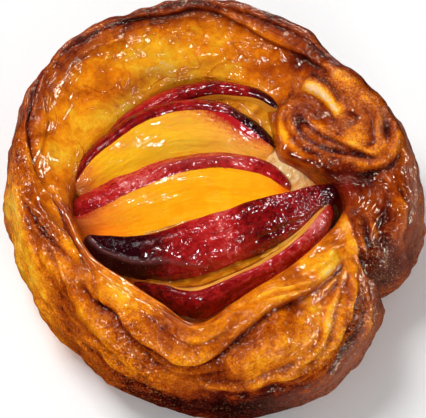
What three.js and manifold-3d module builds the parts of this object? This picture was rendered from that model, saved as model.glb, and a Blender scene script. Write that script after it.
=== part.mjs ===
// Peaches and cream kouign-amann: a round laminated pastry, its corners folded in over a well that holds
// pastry cream and five leaning peach slices. Millimetres, +Z up, the origin in the middle of the flat
// underside, and -Y the near side, where the rim is folded inwards. Angles run anticlockwise from +X.
import * as THREE from "three";
import { mergeVertices } from "three/addons/utils/BufferGeometryUtils.js";
import Module from "manifold-3d";

const wasm = await Module();
wasm.setup();

// Driving dimensions
const FLOOR_Z = 12; // bottom of the well
const FOOT_INSET = 8.5; // the flat foot's edge, in from the widest line
const FOOT_EDGE = [3.5, 2.2]; // its rounded edge: in from the widest line, height
const BELLY = [0.6, 9]; // where the side turns upright: in from the widest line, height
const WALL_MID = 1.8; // half-way down the well's wall, in from the lip
const WALL_FOOT = 5; // edge of the well's floor, in from the lip
const GAP = 0.35; // clearance between pieces that touch
const CREST = 7; // the profile station that is the rim's crest
const ARCS = [[-34, 58, 38], [58, 326, 62]]; // steps round the pastry: from, to, how many
const ROWS = [1, 1, 1, 2, 3, 4, 5, 6, 5, 2, 1, 1, 1]; // steps between profile stations
const FOOT_FADE = [1.5, 6]; // the crust's relief starts at this height and is full this much above it
const WALL_FADE = [9, 1.2]; // it has gone at this station, and begins to go this much before it
const TOP_START = 4.5; // the station above which shapes laid out on plan come in

// The rim by angle: widest radius, crest radius, crest height, lip radius, lip height
const RIM = [
  [0, 56.2, 47.2, 33.0, 35.0, 29.0],
  [14, 56.0, 48.0, 36.5, 27.0, 31.0],
  [30, 54.0, 46.5, 39.5, 22.0, 31.5],
  [46, 51.0, 45.2, 40.0, 24.5, 30.5],
  [62, 53.0, 48.3, 40.2, 30.5, 28.0],
  [80, 54.5, 50.4, 40.4, 35.5, 26.5],
  [102, 56.0, 51.8, 40.2, 36.5, 26.5],
  [120, 57.0, 52.3, 39.2, 35.5, 26.5],
  [140, 58.5, 53.8, 37.5, 34.3, 26.5],
  [160, 57.3, 51.5, 36.0, 35.6, 26.5],
  [178, 55.2, 47.4, 34.8, 37.4, 27.5],
  [195, 53.0, 44.0, 35.5, 37.0, 31.0],
  [214, 52.0, 42.0, 36.0, 36.6, 33.0],
  [232, 51.8, 40.5, 36.0, 35.0, 34.0],
  [250, 53.2, 39.6, 36.0, 36.4, 34.0],
  [264, 54.0, 42.4, 35.6, 39.6, 33.5],
  [277, 55.6, 39.8, 36.0, 34.6, 33.8],
  [289, 56.2, 38.8, 36.0, 31.6, 33.8],
  [303, 56.2, 38.2, 35.2, 30.4, 33.2],
  [319, 54.2, 37.2, 33.7, 30.2, 31.7],
  [329, 52.0, 37.4, 32.3, 30.7, 30.4],
  [335, 48.0, 39.2, 31.7, 31.4, 29.8],
  [339, 51.8, 41.0, 31.2, 32.1, 29.5],
  [346, 54.4, 43.8, 31.6, 33.6, 29.2],
];

// Edges of the dough's layers. A fold's line is given as [angle, mm outside the crest]. side 1: the inner
// layer lies on top, -1: the outer one does, 0: a round ridge. lift and groove are heights, up and low their
// reaches.
const FOLDS = [
  { name: "inner leaf", side: 1, lift: 0.9, groove: 1.7, up: 4, low: 2.6, line: [[220, 1.5], [228, 4.2],
    [236, 4.3], [244, 7.8], [254, 9.6], [264, 8.9], [271, 7.4], [280, 3.6], [288, 1.2], [304, 0.8],
    [316, 2.2], [328, 2]] },
  { name: "long pleat", side: -1, lift: 1, groove: 1.1, up: 2.6, low: 3, line: [[264, 14.4],
    [272, 15.6], [278, 17.6], [285, 16.5], [292, 16.2], [298, 14.5], [302, 13], [306, 10], [310, 7.4],
    [315, 6.4], [320, 4.8], [327, 2.5]] },
  { name: "middle pleat", side: -1, lift: 1, groove: 1, up: 1.8, low: 2.2, line: [[276, 21],
    [288, 20.5], [296, 19.5], [301, 18.1], [306, 16], [309, 14], [313, 12.6], [322, 7.8], [328, 4.5]] },
  { name: "outer pleat", side: -1, lift: 0.9, groove: 0.9, up: 2, low: 2, line: [[290, 24.5],
    [302, 23.2], [307, 21.8], [312, 19.2], [316, 18], [320, 16.5], [326, 13.4], [331, 9]] },
  { name: "left band", side: -1, lift: 0.9, groove: 1.5, up: 2.2, low: 1.6, line: [[144, 2.6],
    [152, 1.4], [164, -0.5], [172, -1.6], [178, -3.2], [183, -5.2], [190, -5.8], [198, -5.2],
    [208, -3.6], [218, -1.2]] },
  { name: "far edge", side: -1, lift: 1, groove: 1.2, up: 2, low: 2.4, line: [[34, -2], [46, -2.3],
    [54, -3.8], [61, -5.4], [73, -6.1], [82, -4.3], [89, -2.4], [94, -1.4], [104, -2.2], [116, 0],
    [132, 1.2], [140, 1.4]] },
  { name: "low ridge", side: 0, lift: 1, groove: 0, up: 1.9, low: 1, line: [[210, 3.5], [220, 6.2],
    [228, 9], [236, 11.9], [243, 14.5], [250, 16.5], [257, 19.2], [266, 20]] },
  { name: "side step", side: 1, lift: 0.7, groove: 0.9, up: 2.6, low: 2.2, line: [[178, 7.6],
    [184, 8.6], [194, 11.3], [206, 16.2], [219, 19], [234, 19.3], [247, 21.9], [258, 23.4],
    [268, 23.5]] },
  { name: "side line", side: -1, lift: 0.6, groove: 0.7, up: 1.6, low: 1.4, line: [[186, 4.6], [195, 6],
    [210, 9.6], [222, 13.2], [234, 15.4], [244, 18.2]] },
];
const FOLD_EDGE = 0.45; // how sharply a layer's edge drops
const FOLD_TAPER = 9; // degrees over which a fold fades at its ends

// Folds of the rolled corner on the far right and of the lobe below it, as [x, y] on plan. Sides and sizes
// as above; the higher side lies on the line's left. A ridge below 0 is a furrow.
const CORNER_FOLDS = [
  { name: "shelf", side: 1, lift: 0.7, groove: 1.4, up: 2.5, low: 2.2, line: [[17.3, 25.1],
    [17.2, 18.9], [18.4, 13.5], [20.9, 10.2], [25.9, 8.2], [31.4, 5], [39.6, 4.5], [46.2, 6.1],
    [48.6, 9]] },
  { name: "outer band", side: 0, lift: 0.7, groove: 0, up: 1.6, low: 1, line: [[19.8, 23.2],
    [20.7, 17.2], [23.4, 13.2], [27, 10.7], [34.3, 7.7], [41.8, 5.9], [45, 6.9], [47.1, 10],
    [47.5, 13.8], [46.2, 17.4], [43.6, 20.8], [39.9, 24], [35.9, 27], [31.5, 30.5]] },
  { name: "band furrow", side: 0, lift: -0.9, groove: 0, up: 1.2, low: 1, line: [[22, 19.4], [24, 15.2],
    [29, 11.8], [34.3, 9.8], [41, 7.8]] },
  { name: "main ridge", side: 0, lift: 0.9, groove: 0, up: 1.5, low: 1, line: [[19.9, 25.2], [22.8, 22],
    [28, 16.2], [35.5, 11.2], [41.8, 8.2], [43.9, 9.5], [43, 16.5], [39.5, 22.2], [33.1, 28.6],
    [28.6, 32.6]] },
  { name: "tongue", side: 0, lift: 1.7, groove: 0, up: 1.9, low: 1,
    line: [[24.4, 28.6], [29.6, 23.7], [33.7, 18]] },
  { name: "behind the tongue", side: 0, lift: 0.8, groove: 0, up: 1.3, low: 1, line: [[27.6, 30.6],
    [34.3, 23.2], [35.6, 17.4]] },
  { name: "crescent", side: 0, lift: -1, groove: 0, up: 1.2, low: 1, line: [[41.2, 17], [41.2, 14],
    [39.6, 9.9]] },
  { name: "neck edge", side: 1, lift: 0.9, groove: 1.3, up: 2.2, low: 1.6, line: [[43.5, -25.5],
    [39.3, -23.1], [36.7, -17.5], [35.4, -9.9], [33.6, -5.4]] },
  { name: "rough ridge", side: 0, lift: 1.1, groove: 0, up: 1.8, low: 1, line: [[37.6, -7],
    [38.4, -15.7], [42.5, -19.2], [46.5, -18]] },
  { name: "lobe rim", side: 0, lift: 0.8, groove: 0, up: 2, low: 1, line: [[41.5, 4], [48.1, -2.5],
    [48.9, -10], [46.5, -15.3]] },
];
const CORNER_PATCH = [33.5, 16.5, 18.5, 11.5, -38, 1]; // where the corner's folds take the rim's place
const PATCH_FADE = [0.3, 0.2]; // where on that bell the patch starts, and how much higher it is full
const LINE_TAPER = 3; // mm over which a line on plan fades at its ends

// Bulges and hollows on plan: x, y, reach along, reach across, turn in degrees, height
const SWELLS = [
  [19, -45, 14, 5, 22, 1.6], // full fold between the leaf and the long pleat
  [32, 16.5, 15, 9, -38, 1.2], // the rolled corner as a whole
  [26.8, 20, 4.8, 2.4, -42, -2], // hollow beside the tongue
  [44.9, 14, 3, 1.6, 80, -2.6], // pit in the corner's outer band
  [43.6, -10.5, 7, 3.2, 78, -3.4], // hollow in the lobe
  [45, -15, 2.6, 2.2, 0, -1.4],
  [-27, -35, 5, 2, -40, -0.8], // where the leaf lifts off
  [-39.5, -31, 6.5, 2.2, -55, -1],
];

// Uneven swell of the whole crust
const LUMP_HEIGHT = 0.5;
const LUMP_SIZE = 16;
const LUMP_WAVES = 9;
const GOLDEN_ANGLE = Math.PI * (3 - Math.sqrt(5));

// Peach slices. line: the middle of the skin as [x, y, z, thickness there]; lean: the front face's tilt (0
// upright, 90 lying on its back, below 0 tipped forwards); deep: from the skin to the core at the fullest;
// bulge: how far the skin stands proud, as a share of the thickness.
const SLICES = {
  peach_1: { lean: 20, deep: 11, bulge: 0.45, line: [[-30.5, 13.8, 24, 4.5], [-24.9, 21.2, 25.3, 5.6],
    [-19.2, 25.4, 26, 6], [-13.9, 28.9, 26.4, 6], [-6, 31.8, 26.8, 5.6], [0.5, 32.9, 27, 5.2],
    [7.1, 32.3, 26.9, 4.4], [12.5, 29.4, 29.4, 3.4], [17, 24.4, 31.4, 2.6]] },
  peach_2: { lean: 60, deep: 18, bulge: 0.42, line: [[-37.2, 4.4, 23.5, 5], [-32.8, 11.4, 25, 7],
    [-26.6, 16.9, 26.3, 7.6], [-17.9, 22.8, 27.6, 7.4], [-7.4, 25.7, 28.3, 7], [3.2, 24.7, 28.2, 6.6],
    [10.3, 20.4, 26.8, 6.6], [16.2, 15.4, 25.4, 6.2]] },
  peach_3: { lean: 46, deep: 20, bulge: 0.45, line: [[-37, -3, 22.8, 9.5], [-29.6, -0.2, 24.6, 10],
    [-20, 4.2, 26.3, 9], [-10, 8, 27.3, 7.8], [-3.4, 9.4, 27.6, 7.4], [3.2, 9.6, 27.7, 7.2],
    [9.7, 8.7, 27.3, 7.2], [15, 6.9, 26.6, 7], [20.5, 3.2, 24.6, 5.5]] },
  peach_4: { lean: -32, deep: 13, bulge: 0.32, line: [[-33.4, -12.4, 25, 6], [-29.7, -15, 25.6, 8.4],
    [-21.8, -17.6, 26.8, 11], [-16.6, -18, 27.4, 12.6], [-10, -17.4, 27.9, 14], [-3.4, -15.4, 28.2, 15],
    [3.2, -13.1, 28.4, 15], [9.7, -10.4, 28.3, 14.6], [16.3, -7.5, 28, 13.3], [22.9, -4.2, 27.4, 11],
    [28.2, -0.5, 26.6, 8], [32.6, 2.5, 26, 5]] },
  peach_5: { lean: -62, deep: 10, bulge: 0.36, line: [[-20.4, -22.8, 21.8, 3.6], [-12.6, -26.6, 23, 7],
    [-8.2, -29, 23.2, 9], [-3.4, -29.6, 23.6, 9.6], [3.2, -26.6, 24.3, 8], [9.7, -23.1, 24.8, 6.4],
    [16.3, -19.4, 25.2, 6.2], [20.3, -16.3, 25.5, 6.6], [24.2, -13.2, 25.7, 7.4], [27.6, -8.7, 25.7, 7.6],
    [31, -2.2, 25.3, 5.5]] },
};
const SLICE_STEPS = 17;
const END_ROUND = 0.09; // share of a slice's length over which an end rounds off
const CORE_SHARE = 0.26; // thickness at the core as a share of the thickness at the skin
const CHORD_SHARE = 0.5; // how much a section turns back towards the slice's straight line from end to end
const DEPTH_ROUND = 0.45; // how full the depth stays towards the ends: lower is fuller

// Pastry cream: its level, and a soft mound beside the rolled corner
const CREAM = { level: 19, mound: [21, 10.5], height: 9, reach: 10.5, wide: 42, steps: 40, rings: 9 };

const smooth = (x) => THREE.MathUtils.smoothstep(x, 0, 1);

function hermite(t, p0, p1, m0, m1) {
  const t2 = t * t,
    t3 = t2 * t;
  return (2 * t3 - 3 * t2 + 1) * p0 + (t3 - 2 * t2 + t) * m0 + (3 * t2 - 2 * t3) * p1 + (t3 - t2) * m1;
}

const wrap = (degrees) => ((degrees % 360) + 360) % 360;

// Value of one of the rim's columns at an angle: a closed smooth curve through the rows above.
function rimValue(degrees, column) {
  const n = RIM.length;
  const at = wrap(degrees);
  let i = RIM.findLastIndex((row) => row[0] <= at);
  if (i < 0) i = n - 1;
  const row = (k) => RIM[(k + n) % n];
  const slope = (k) => (row(k + 1)[column] - row(k - 1)[column]) / wrap(row(k + 1)[0] - row(k - 1)[0]);
  const span = wrap(row(i + 1)[0] - row(i)[0]);
  const t = wrap(at - row(i)[0]) / span;
  return hermite(t, row(i)[column], row(i + 1)[column], slope(i) * span, slope(i + 1) * span);
}

// Radius and height of the profile's stations at an angle, from the middle of the underside over the crest
// and down to the middle of the well's floor.
function stations(degrees) {
  const [wide, crest, top, lip, lipZ] = [1, 2, 3, 4, 5].map((column) => rimValue(degrees, column));
  return [
    [0, 0],
    [wide * 0.45, 0],
    [wide - FOOT_INSET, 0],
    [wide - FOOT_EDGE[0], FOOT_EDGE[1]],
    [wide - BELLY[0], BELLY[1]],
    [wide - 0.4, top * 0.52],
    [wide * 0.62 + crest * 0.38, top * 0.86],
    [crest, top],
    [(crest + lip) / 2, top * 0.45 + lipZ * 0.55],
    [lip, lipZ],
    [lip - WALL_MID, lipZ * 0.55 + FLOOR_Z * 0.45],
    [lip - WALL_FOOT, FLOOR_Z],
    [lip * 0.5, FLOOR_Z],
    [0, FLOOR_Z],
  ];
}

function profilePoint(points, v) {
  const last = points.length - 1;
  const i = Math.min(Math.floor(v), last - 1);
  const p = [-1, 0, 1, 2].map((k) => points[THREE.MathUtils.clamp(i + k, 0, last)]);
  const along = (c) => hermite(v - i, p[1][c], p[2][c], (p[2][c] - p[0][c]) / 2, (p[3][c] - p[1][c]) / 2);
  return [along(0), Math.max(along(1), 0)];
}

const rowValues = ROWS.flatMap((n, k) => Array.from({ length: n }, (_, j) => k + j / n)).concat(ROWS.length);
const crestRow = ROWS.slice(0, CREST).reduce((sum, n) => sum + n, 0);

// A fold's line at an angle: mm outside the crest, its slope, and how many degrees inside its ends that is.
function foldLine(line, degrees) {
  const last = line.length - 1;
  const at = degrees < line[0][0] - FOLD_TAPER ? degrees + 360 : degrees;
  const inside = Math.min(at - line[0][0], line[last][0] - at);
  const x = THREE.MathUtils.clamp(at, line[0][0], line[last][0]);
  const i = Math.max(0, Math.min(last - 1, line.findLastIndex((p) => p[0] <= x)));
  const slope = (k) => {
    const [a, b] = [line[Math.max(k - 1, 0)], line[Math.min(k + 1, last)]];
    return (b[1] - a[1]) / (b[0] - a[0]);
  };
  const span = line[i + 1][0] - line[i][0];
  const t = (x - line[i][0]) / span;
  const value = hermite(t, line[i][1], line[i + 1][1], slope(i) * span, slope(i + 1) * span);
  return { value, slope: slope(i) * (1 - t) + slope(i + 1) * t, inside };
}

// Height across a fold, d being 0 on its line: with a side, a layer's edge that steps down, else a ridge.
function layerEdge(d, { side, lift, groove, up, low }) {
  if (side === 0) return lift * Math.exp(-((d / up) ** 2));
  const s = d * side;
  const upper = 0.5 - 0.5 * Math.tanh(s / FOLD_EDGE);
  const raised = lift * Math.exp(Math.min(s, 0) / up);
  return upper * raised - (1 - upper) * groove * Math.exp(-Math.max(s, 0) / low);
}

// Height that the rim's folds add at an angle and a distance outside the crest.
function foldRelief(degrees, outside) {
  const MM_PER_DEGREE = 0.79; // at a radius of 45 mm
  return FOLDS.reduce((sum, fold) => {
    const { value, slope, inside } = foldLine(fold.line, degrees);
    const d = (outside - value) * Math.cos(Math.atan(slope / MM_PER_DEGREE));
    return sum + smooth((inside + 2) / FOLD_TAPER) * layerEdge(d, fold);
  }, 0);
}

const cornerPaths = CORNER_FOLDS.map(({ line }) => {
  const curve = new THREE.CatmullRomCurve3(line.map(([x, y]) => new THREE.Vector3(x, y, 0)));
  return { places: curve.getSpacedPoints(8 * line.length), length: curve.getLength() };
});

// Height that the folds of the rolled corner and the lobe add at a place on plan.
function cornerRelief(x, y) {
  return CORNER_FOLDS.reduce((sum, fold, n) => {
    const { places, length } = cornerPaths[n];
    const last = places.length - 1;
    const away = places.map((p) => Math.hypot(x - p.x, y - p.y));
    const k = away.indexOf(Math.min(...away));
    const ahead = places[Math.min(k + 1, last)].clone().sub(places[Math.max(k - 1, 0)]).normalize();
    const off = new THREE.Vector3(x, y, 0).sub(places[k]);
    const along = (k / last) * length + off.dot(ahead);
    const aside = off.x * ahead.y - off.y * ahead.x;
    return sum + smooth((Math.min(along, length - along) + 1) / LINE_TAPER) * layerEdge(aside, fold);
  }, 0);
}

function swellRelief(x, y, rows) {
  return rows.reduce((sum, [cx, cy, along, across, degrees, height]) => {
    const turn = THREE.MathUtils.degToRad(degrees);
    const p = (x - cx) * Math.cos(turn) + (y - cy) * Math.sin(turn);
    const q = (y - cy) * Math.cos(turn) - (x - cx) * Math.sin(turn);
    return sum + height * Math.exp(-((p / along) ** 2) - (q / across) ** 2);
  }, 0);
}

// Soft uneven swell of baked dough: waves whose directions step round by the golden angle.
function lumps(x, y, z) {
  let sum = 0;
  for (let i = 0; i < LUMP_WAVES; i++) {
    const up = 1 - (2 * (i + 0.5)) / LUMP_WAVES;
    const flat = Math.sqrt(1 - up * up);
    const turn = i * GOLDEN_ANGLE;
    const wave = LUMP_SIZE * (0.7 + 0.8 * ((i * 0.618) % 1));
    const along = x * flat * Math.cos(turn) + y * flat * Math.sin(turn) + z * up;
    sum += Math.sin((2 * Math.PI * along) / wave + i * 1.7);
  }
  return sum / 3;
}

// A BufferGeometry from rows of points, each row closed round. The first and last rows are capped with a fan,
// or are single points.
function skinOver(rows) {
  const positions = [];
  const index = [];
  const starts = rows.map((row) => {
    const start = positions.length / 3;
    row.forEach((p) => positions.push(...p));
    return { start, count: row.length };
  });
  for (let i = 0; i + 1 < rows.length; i++) {
    const [a, b] = [starts[i], starts[i + 1]];
    const n = Math.max(a.count, b.count);
    for (let j = 0; j < n; j++) {
      const k = (j + 1) % n;
      const [a0, a1, b0, b1] = [a.start + (j % a.count), a.start + (k % a.count), b.start + (j % b.count),
        b.start + (k % b.count)];
      if (a.count > 1) index.push(a0, a1, b1);
      if (b.count > 1) index.push(a0, b1, b0);
    }
  }
  const [first, last] = [starts[0], starts[rows.length - 1]];
  for (let j = 1; j + 1 < first.count; j++) index.push(first.start, first.start + j + 1, first.start + j);
  for (let j = 1; j + 1 < last.count; j++) index.push(last.start, last.start + j, last.start + j + 1);
  const geometry = new THREE.BufferGeometry();
  geometry.setAttribute("position", new THREE.Float32BufferAttribute(positions, 3));
  geometry.setIndex(index);
  return geometry;
}

const angles = ARCS.flatMap(([from, to, n]) =>
  Array.from({ length: n }, (_, i) => wrap(from + ((to - from) * i) / n)),
);
const around = angles.length;

// The pastry's surface, grown outwards by the given distance.
function pastryGeometry(grow) {
  const columns = angles.map((degrees) => {
    const points = stations(degrees);
    const turn = THREE.MathUtils.degToRad(degrees);
    const [c, s] = [Math.cos(turn), Math.sin(turn)];
    const flat = rowValues.map((v) => profilePoint(points, v));
    const length = flat.map((p, k) => (k ? Math.hypot(p[0] - flat[k - 1][0], p[1] - flat[k - 1][1]) : 0));
    for (let k = 1; k < length.length; k++) length[k] += length[k - 1];
    return {
      degrees,
      places: flat.map(([r, z]) => new THREE.Vector3(r * c, r * s, z)),
      outside: length.map((l) => length[crestRow] - l),
    };
  });
  const lastRow = rowValues.length - 1;
  const point = (i, k) => {
    const column = columns[i];
    const p = column.places[k];
    if (k === 0) return p.clone().setZ(-grow);
    if (k === lastRow) return p.clone().setZ(FLOOR_Z + grow);
    const before = columns[(i + around - 1) % around].places[k];
    const along = columns[(i + 1) % around].places[k].clone().sub(before);
    const up = column.places[k + 1].clone().sub(column.places[k - 1]);
    const normal = along.cross(up).normalize();
    const v = rowValues[k];
    const crust = smooth((p.z - FOOT_FADE[0]) / FOOT_FADE[1]) * smooth((WALL_FADE[0] - v) / WALL_FADE[1]);
    const topside = smooth(v - TOP_START);
    const patch = smooth((swellRelief(p.x, p.y, [CORNER_PATCH]) - PATCH_FADE[0]) / PATCH_FADE[1]);
    const relief =
      foldRelief(column.degrees, column.outside[k]) * (1 - patch) +
      (cornerRelief(p.x, p.y) + swellRelief(p.x, p.y, SWELLS)) * topside +
      LUMP_HEIGHT * lumps(p.x, p.y, p.z);
    return p.clone().addScaledVector(normal, crust * relief + grow);
  };
  const rows = rowValues.map((_, k) =>
    k === 0 || k === lastRow
      ? [point(0, k).toArray()]
      : columns.map((_, i) => point(i, k).toArray()),
  );
  return skinOver(rows);
}

// Unit section of a wedge as [rise, depth, side]: the round skin, the front face, the core, the back face.
function wedgeSection() {
  const section = [];
  for (const a of [-75, -45, -15, 15, 45, 75]) {
    const turn = THREE.MathUtils.degToRad(a);
    section.push([Math.cos(turn) - 0.2, 0, 0.5 * Math.sin(turn)]);
  }
  const half = (q) => 0.5 * (1 - q) + 0.5 * CORE_SHARE * q;
  for (const q of [0.3, 0.7, 1]) section.push([0, -q, half(q)]);
  for (const q of [1, 0.7, 0.3]) section.push([0, -q, -half(q)]);
  return section;
}

// A peach slice along its skin line, grown by the given distance.
function sliceGeometry({ line, lean, deep, bulge }, grow) {
  const path = new THREE.CatmullRomCurve3(line.map(([x, y, z]) => new THREE.Vector3(x, y, z)));
  const turn = THREE.MathUtils.degToRad(lean);
  const face = new THREE.Vector3(0, -Math.cos(turn), Math.sin(turn));
  const section = wedgeSection();
  const chord = path.getPoint(1).sub(path.getPoint(0)).normalize();
  const thickness = (u) => {
    const at = u * (line.length - 1);
    const i = Math.min(Math.floor(at), line.length - 2);
    return THREE.MathUtils.lerp(line[i][3], line[i + 1][3], smooth(at - i));
  };
  const rows = Array.from({ length: SLICE_STEPS }, (_, i) => {
    const u = 0.5 - 0.5 * Math.cos((Math.PI * i) / (SLICE_STEPS - 1));
    const tangent = path.getTangent(u);
    const middle = path.getPoint(u).addScaledVector(tangent, (2 * u - 1) * grow);
    const along = tangent.lerp(chord, CHORD_SHARE).normalize();
    const out = face.clone().cross(along).normalize();
    const side = along.cross(out);
    const nearEnd = Math.min(1, Math.min(u, 1 - u) / END_ROUND);
    const round = 0.15 + 0.85 * Math.sqrt(1 - (1 - nearEnd) ** 2);
    const width = thickness(u) * round + 2 * grow;
    const depth = deep * (0.1 + 0.9 * (4 * u * (1 - u)) ** DEPTH_ROUND) * round + 2 * grow;
    return section.map(([rise, q, s]) => {
      const spine = middle.clone().addScaledVector(out, rise * bulge * width + q * depth + grow);
      return spine.addScaledVector(side, s * width).toArray();
    });
  });
  return skinOver(rows);
}

// The cream before it is trimmed: a disc with a softly mounded top, wider than the well.
function creamGeometry() {
  const { level, mound, height, reach, wide, steps, rings } = CREAM;
  const top = (x, y) => level + height * Math.exp(-((x - mound[0]) ** 2 + (y - mound[1]) ** 2) / reach ** 2);
  const ring = (r, z) =>
    Array.from({ length: steps }, (_, i) => {
      const [x, y] = [r * Math.cos((2 * Math.PI * i) / steps), r * Math.sin((2 * Math.PI * i) / steps)];
      return [x, y, z ?? top(x, y)];
    });
  const bottom = FLOOR_Z - 1;
  const rows = [[[0, 0, bottom]], ring(wide, bottom)];
  for (let k = rings; k > 0; k--) rows.push(ring((wide * k) / rings));
  rows.push([[0, 0, top(0, 0)]]);
  return skinOver(rows);
}

function solid(geometry) {
  const merged = mergeVertices(geometry, 1e-4);
  return new wasm.Manifold(
    new wasm.Mesh({
      numProp: 3,
      vertProperties: merged.attributes.position.array,
      triVerts: new Uint32Array(merged.index.array),
    }),
  );
}

// The largest piece of a solid, without the scraps that a cut leaves.
function mainPiece(shape) {
  return shape.decompose().reduce((best, piece) => (piece.volume() > best.volume() ? piece : best));
}

function geometryOf(shape) {
  const { vertProperties, triVerts } = shape.getMesh();
  const geometry = new THREE.BufferGeometry();
  geometry.setAttribute("position", new THREE.BufferAttribute(vertProperties, 3));
  geometry.setIndex(new THREE.BufferAttribute(triVerts, 1));
  geometry.computeVertexNormals();
  return geometry;
}

const LOOKS = {
  pastry: { color: 0xc9731a, roughness: 0.45, metalness: 0 },
  cream: { color: 0xe9bd5a, roughness: 0.3, metalness: 0 },
  peach: { color: 0xa8182a, roughness: 0.25, metalness: 0 },
};

const kouignAmann = new THREE.Group();

function addPiece(name, geometry, look) {
  const mesh = new THREE.Mesh(geometry, new THREE.MeshStandardMaterial(look));
  mesh.name = name;
  kouignAmann.add(mesh);
}

addPiece("pastry", pastryGeometry(0), LOOKS.pastry);

// The slice that lies on top of each: the lower one is trimmed clear of the upper one.
const LIES_UNDER = { peach_1: "peach_2", peach_2: "peach_3", peach_3: "peach_4", peach_5: "peach_4" };
const grownPastry = solid(pastryGeometry(GAP));
const grownSlices = Object.fromEntries(
  Object.entries(SLICES).map(([name, slice]) => [name, solid(sliceGeometry(slice, GAP))]),
);

for (const [name, slice] of Object.entries(SLICES)) {
  const inWell = solid(sliceGeometry(slice, 0)).subtract(grownPastry);
  const upper = LIES_UNDER[name];
  addPiece(name, geometryOf(mainPiece(upper ? inWell.subtract(grownSlices[upper]) : inWell)), LOOKS.peach);
}

const cream = Object.values(grownSlices).reduce(
  (shape, slice) => shape.subtract(slice),
  solid(creamGeometry()).subtract(grownPastry),
);
addPiece("cream", geometryOf(mainPiece(cream)), LOOKS.cream);

export default kouignAmann;
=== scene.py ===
"""Peaches and cream kouign-amann: the pastry, its cream and its peach slices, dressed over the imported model.

Sizes are in millimetres until a mesh is made, then metres. Angles run anticlockwise from +X, in degrees.
The pastry's surface has two coordinates: the angle, and how far outside the rim's crest a point lies.
Ovals on plan are rows of x, y, reach along, reach across, turn and amount.
"""
import math

import bpy
import numpy as np
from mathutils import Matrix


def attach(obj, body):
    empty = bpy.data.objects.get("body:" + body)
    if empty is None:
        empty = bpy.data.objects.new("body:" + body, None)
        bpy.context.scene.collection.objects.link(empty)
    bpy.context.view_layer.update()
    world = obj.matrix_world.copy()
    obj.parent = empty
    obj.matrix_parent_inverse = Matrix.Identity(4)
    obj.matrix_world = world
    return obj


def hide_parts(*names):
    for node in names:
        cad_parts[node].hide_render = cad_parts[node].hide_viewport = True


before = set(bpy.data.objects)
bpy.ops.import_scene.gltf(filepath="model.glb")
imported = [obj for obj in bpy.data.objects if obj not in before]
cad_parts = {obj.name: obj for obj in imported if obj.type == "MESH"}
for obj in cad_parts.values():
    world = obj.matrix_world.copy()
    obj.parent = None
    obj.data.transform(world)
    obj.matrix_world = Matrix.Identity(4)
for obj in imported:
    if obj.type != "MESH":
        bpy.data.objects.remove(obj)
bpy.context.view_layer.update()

MM = 0.001
FLOOR_Z = 12  # bottom of the well
FOOT_INSET = 8.5  # the flat foot's edge, in from the widest line
FOOT_EDGE = (3.5, 2.2)  # its rounded edge: in from the widest line, height
BELLY = (0.6, 9)  # where the side turns upright: in from the widest line, height
SIDE_INSET = 0.4  # half-way up the side, in from the widest line
WALL_MID = 1.8  # half-way down the well's wall, in from the lip
WALL_FOOT = 5  # edge of the well's floor, in from the lip
CREST = 7  # the profile station that is the rim's crest
ROW_STEPS = (3, 5, 5, 9, 13, 15, 17, 24, 20, 8, 5, 3, 3)  # steps between profile stations
FOOT_FADE = (1.5, 6)  # height at which the crust's relief starts, and how much above it is full
WALL_FADE = (9, 1.2)  # station at which it has gone, and how much before that it begins to go
TOP_START = 4.5  # station from which shapes laid out on plan come in

# The rim by angle: widest radius, crest radius, crest height, lip radius, lip height
RIM = [
    (0, 56.2, 47.2, 33, 35, 29),
    (14, 56, 48, 36.5, 27, 31),
    (30, 54, 46.5, 39.5, 22, 31.5),
    (46, 51, 45.2, 40, 24.5, 30.5),
    (62, 53, 48.3, 40.2, 30.5, 28),
    (80, 54.5, 50.4, 40.4, 35.5, 26.5),
    (102, 56, 51.8, 40.2, 36.5, 26.5),
    (120, 57, 52.3, 39.2, 35.5, 26.5),
    (140, 58.5, 53.8, 37.5, 34.3, 26.5),
    (160, 57.3, 51.5, 36, 35.6, 26.5),
    (178, 55.2, 47.4, 34.8, 37.4, 27.5),
    (195, 53, 44, 35.5, 37, 31),
    (214, 52, 42, 36, 36.6, 33),
    (232, 51.8, 40.5, 36, 35, 34),
    (250, 53.2, 39.6, 36, 36.4, 34),
    (264, 54, 42.4, 35.6, 39.6, 33.5),
    (277, 55.6, 39.8, 36, 34.6, 33.8),
    (289, 56.2, 38.8, 36, 31.6, 33.8),
    (303, 56.2, 38.2, 35.2, 30.4, 33.2),
    (319, 54.2, 37.2, 33.7, 30.2, 31.7),
    (329, 52, 37.4, 32.3, 30.7, 30.4),
    (335, 48, 39.2, 31.7, 31.4, 29.8),
    (339, 51.8, 41, 31.2, 32.1, 29.5),
    (346, 54.4, 43.8, 31.6, 33.6, 29.2),
]

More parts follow.
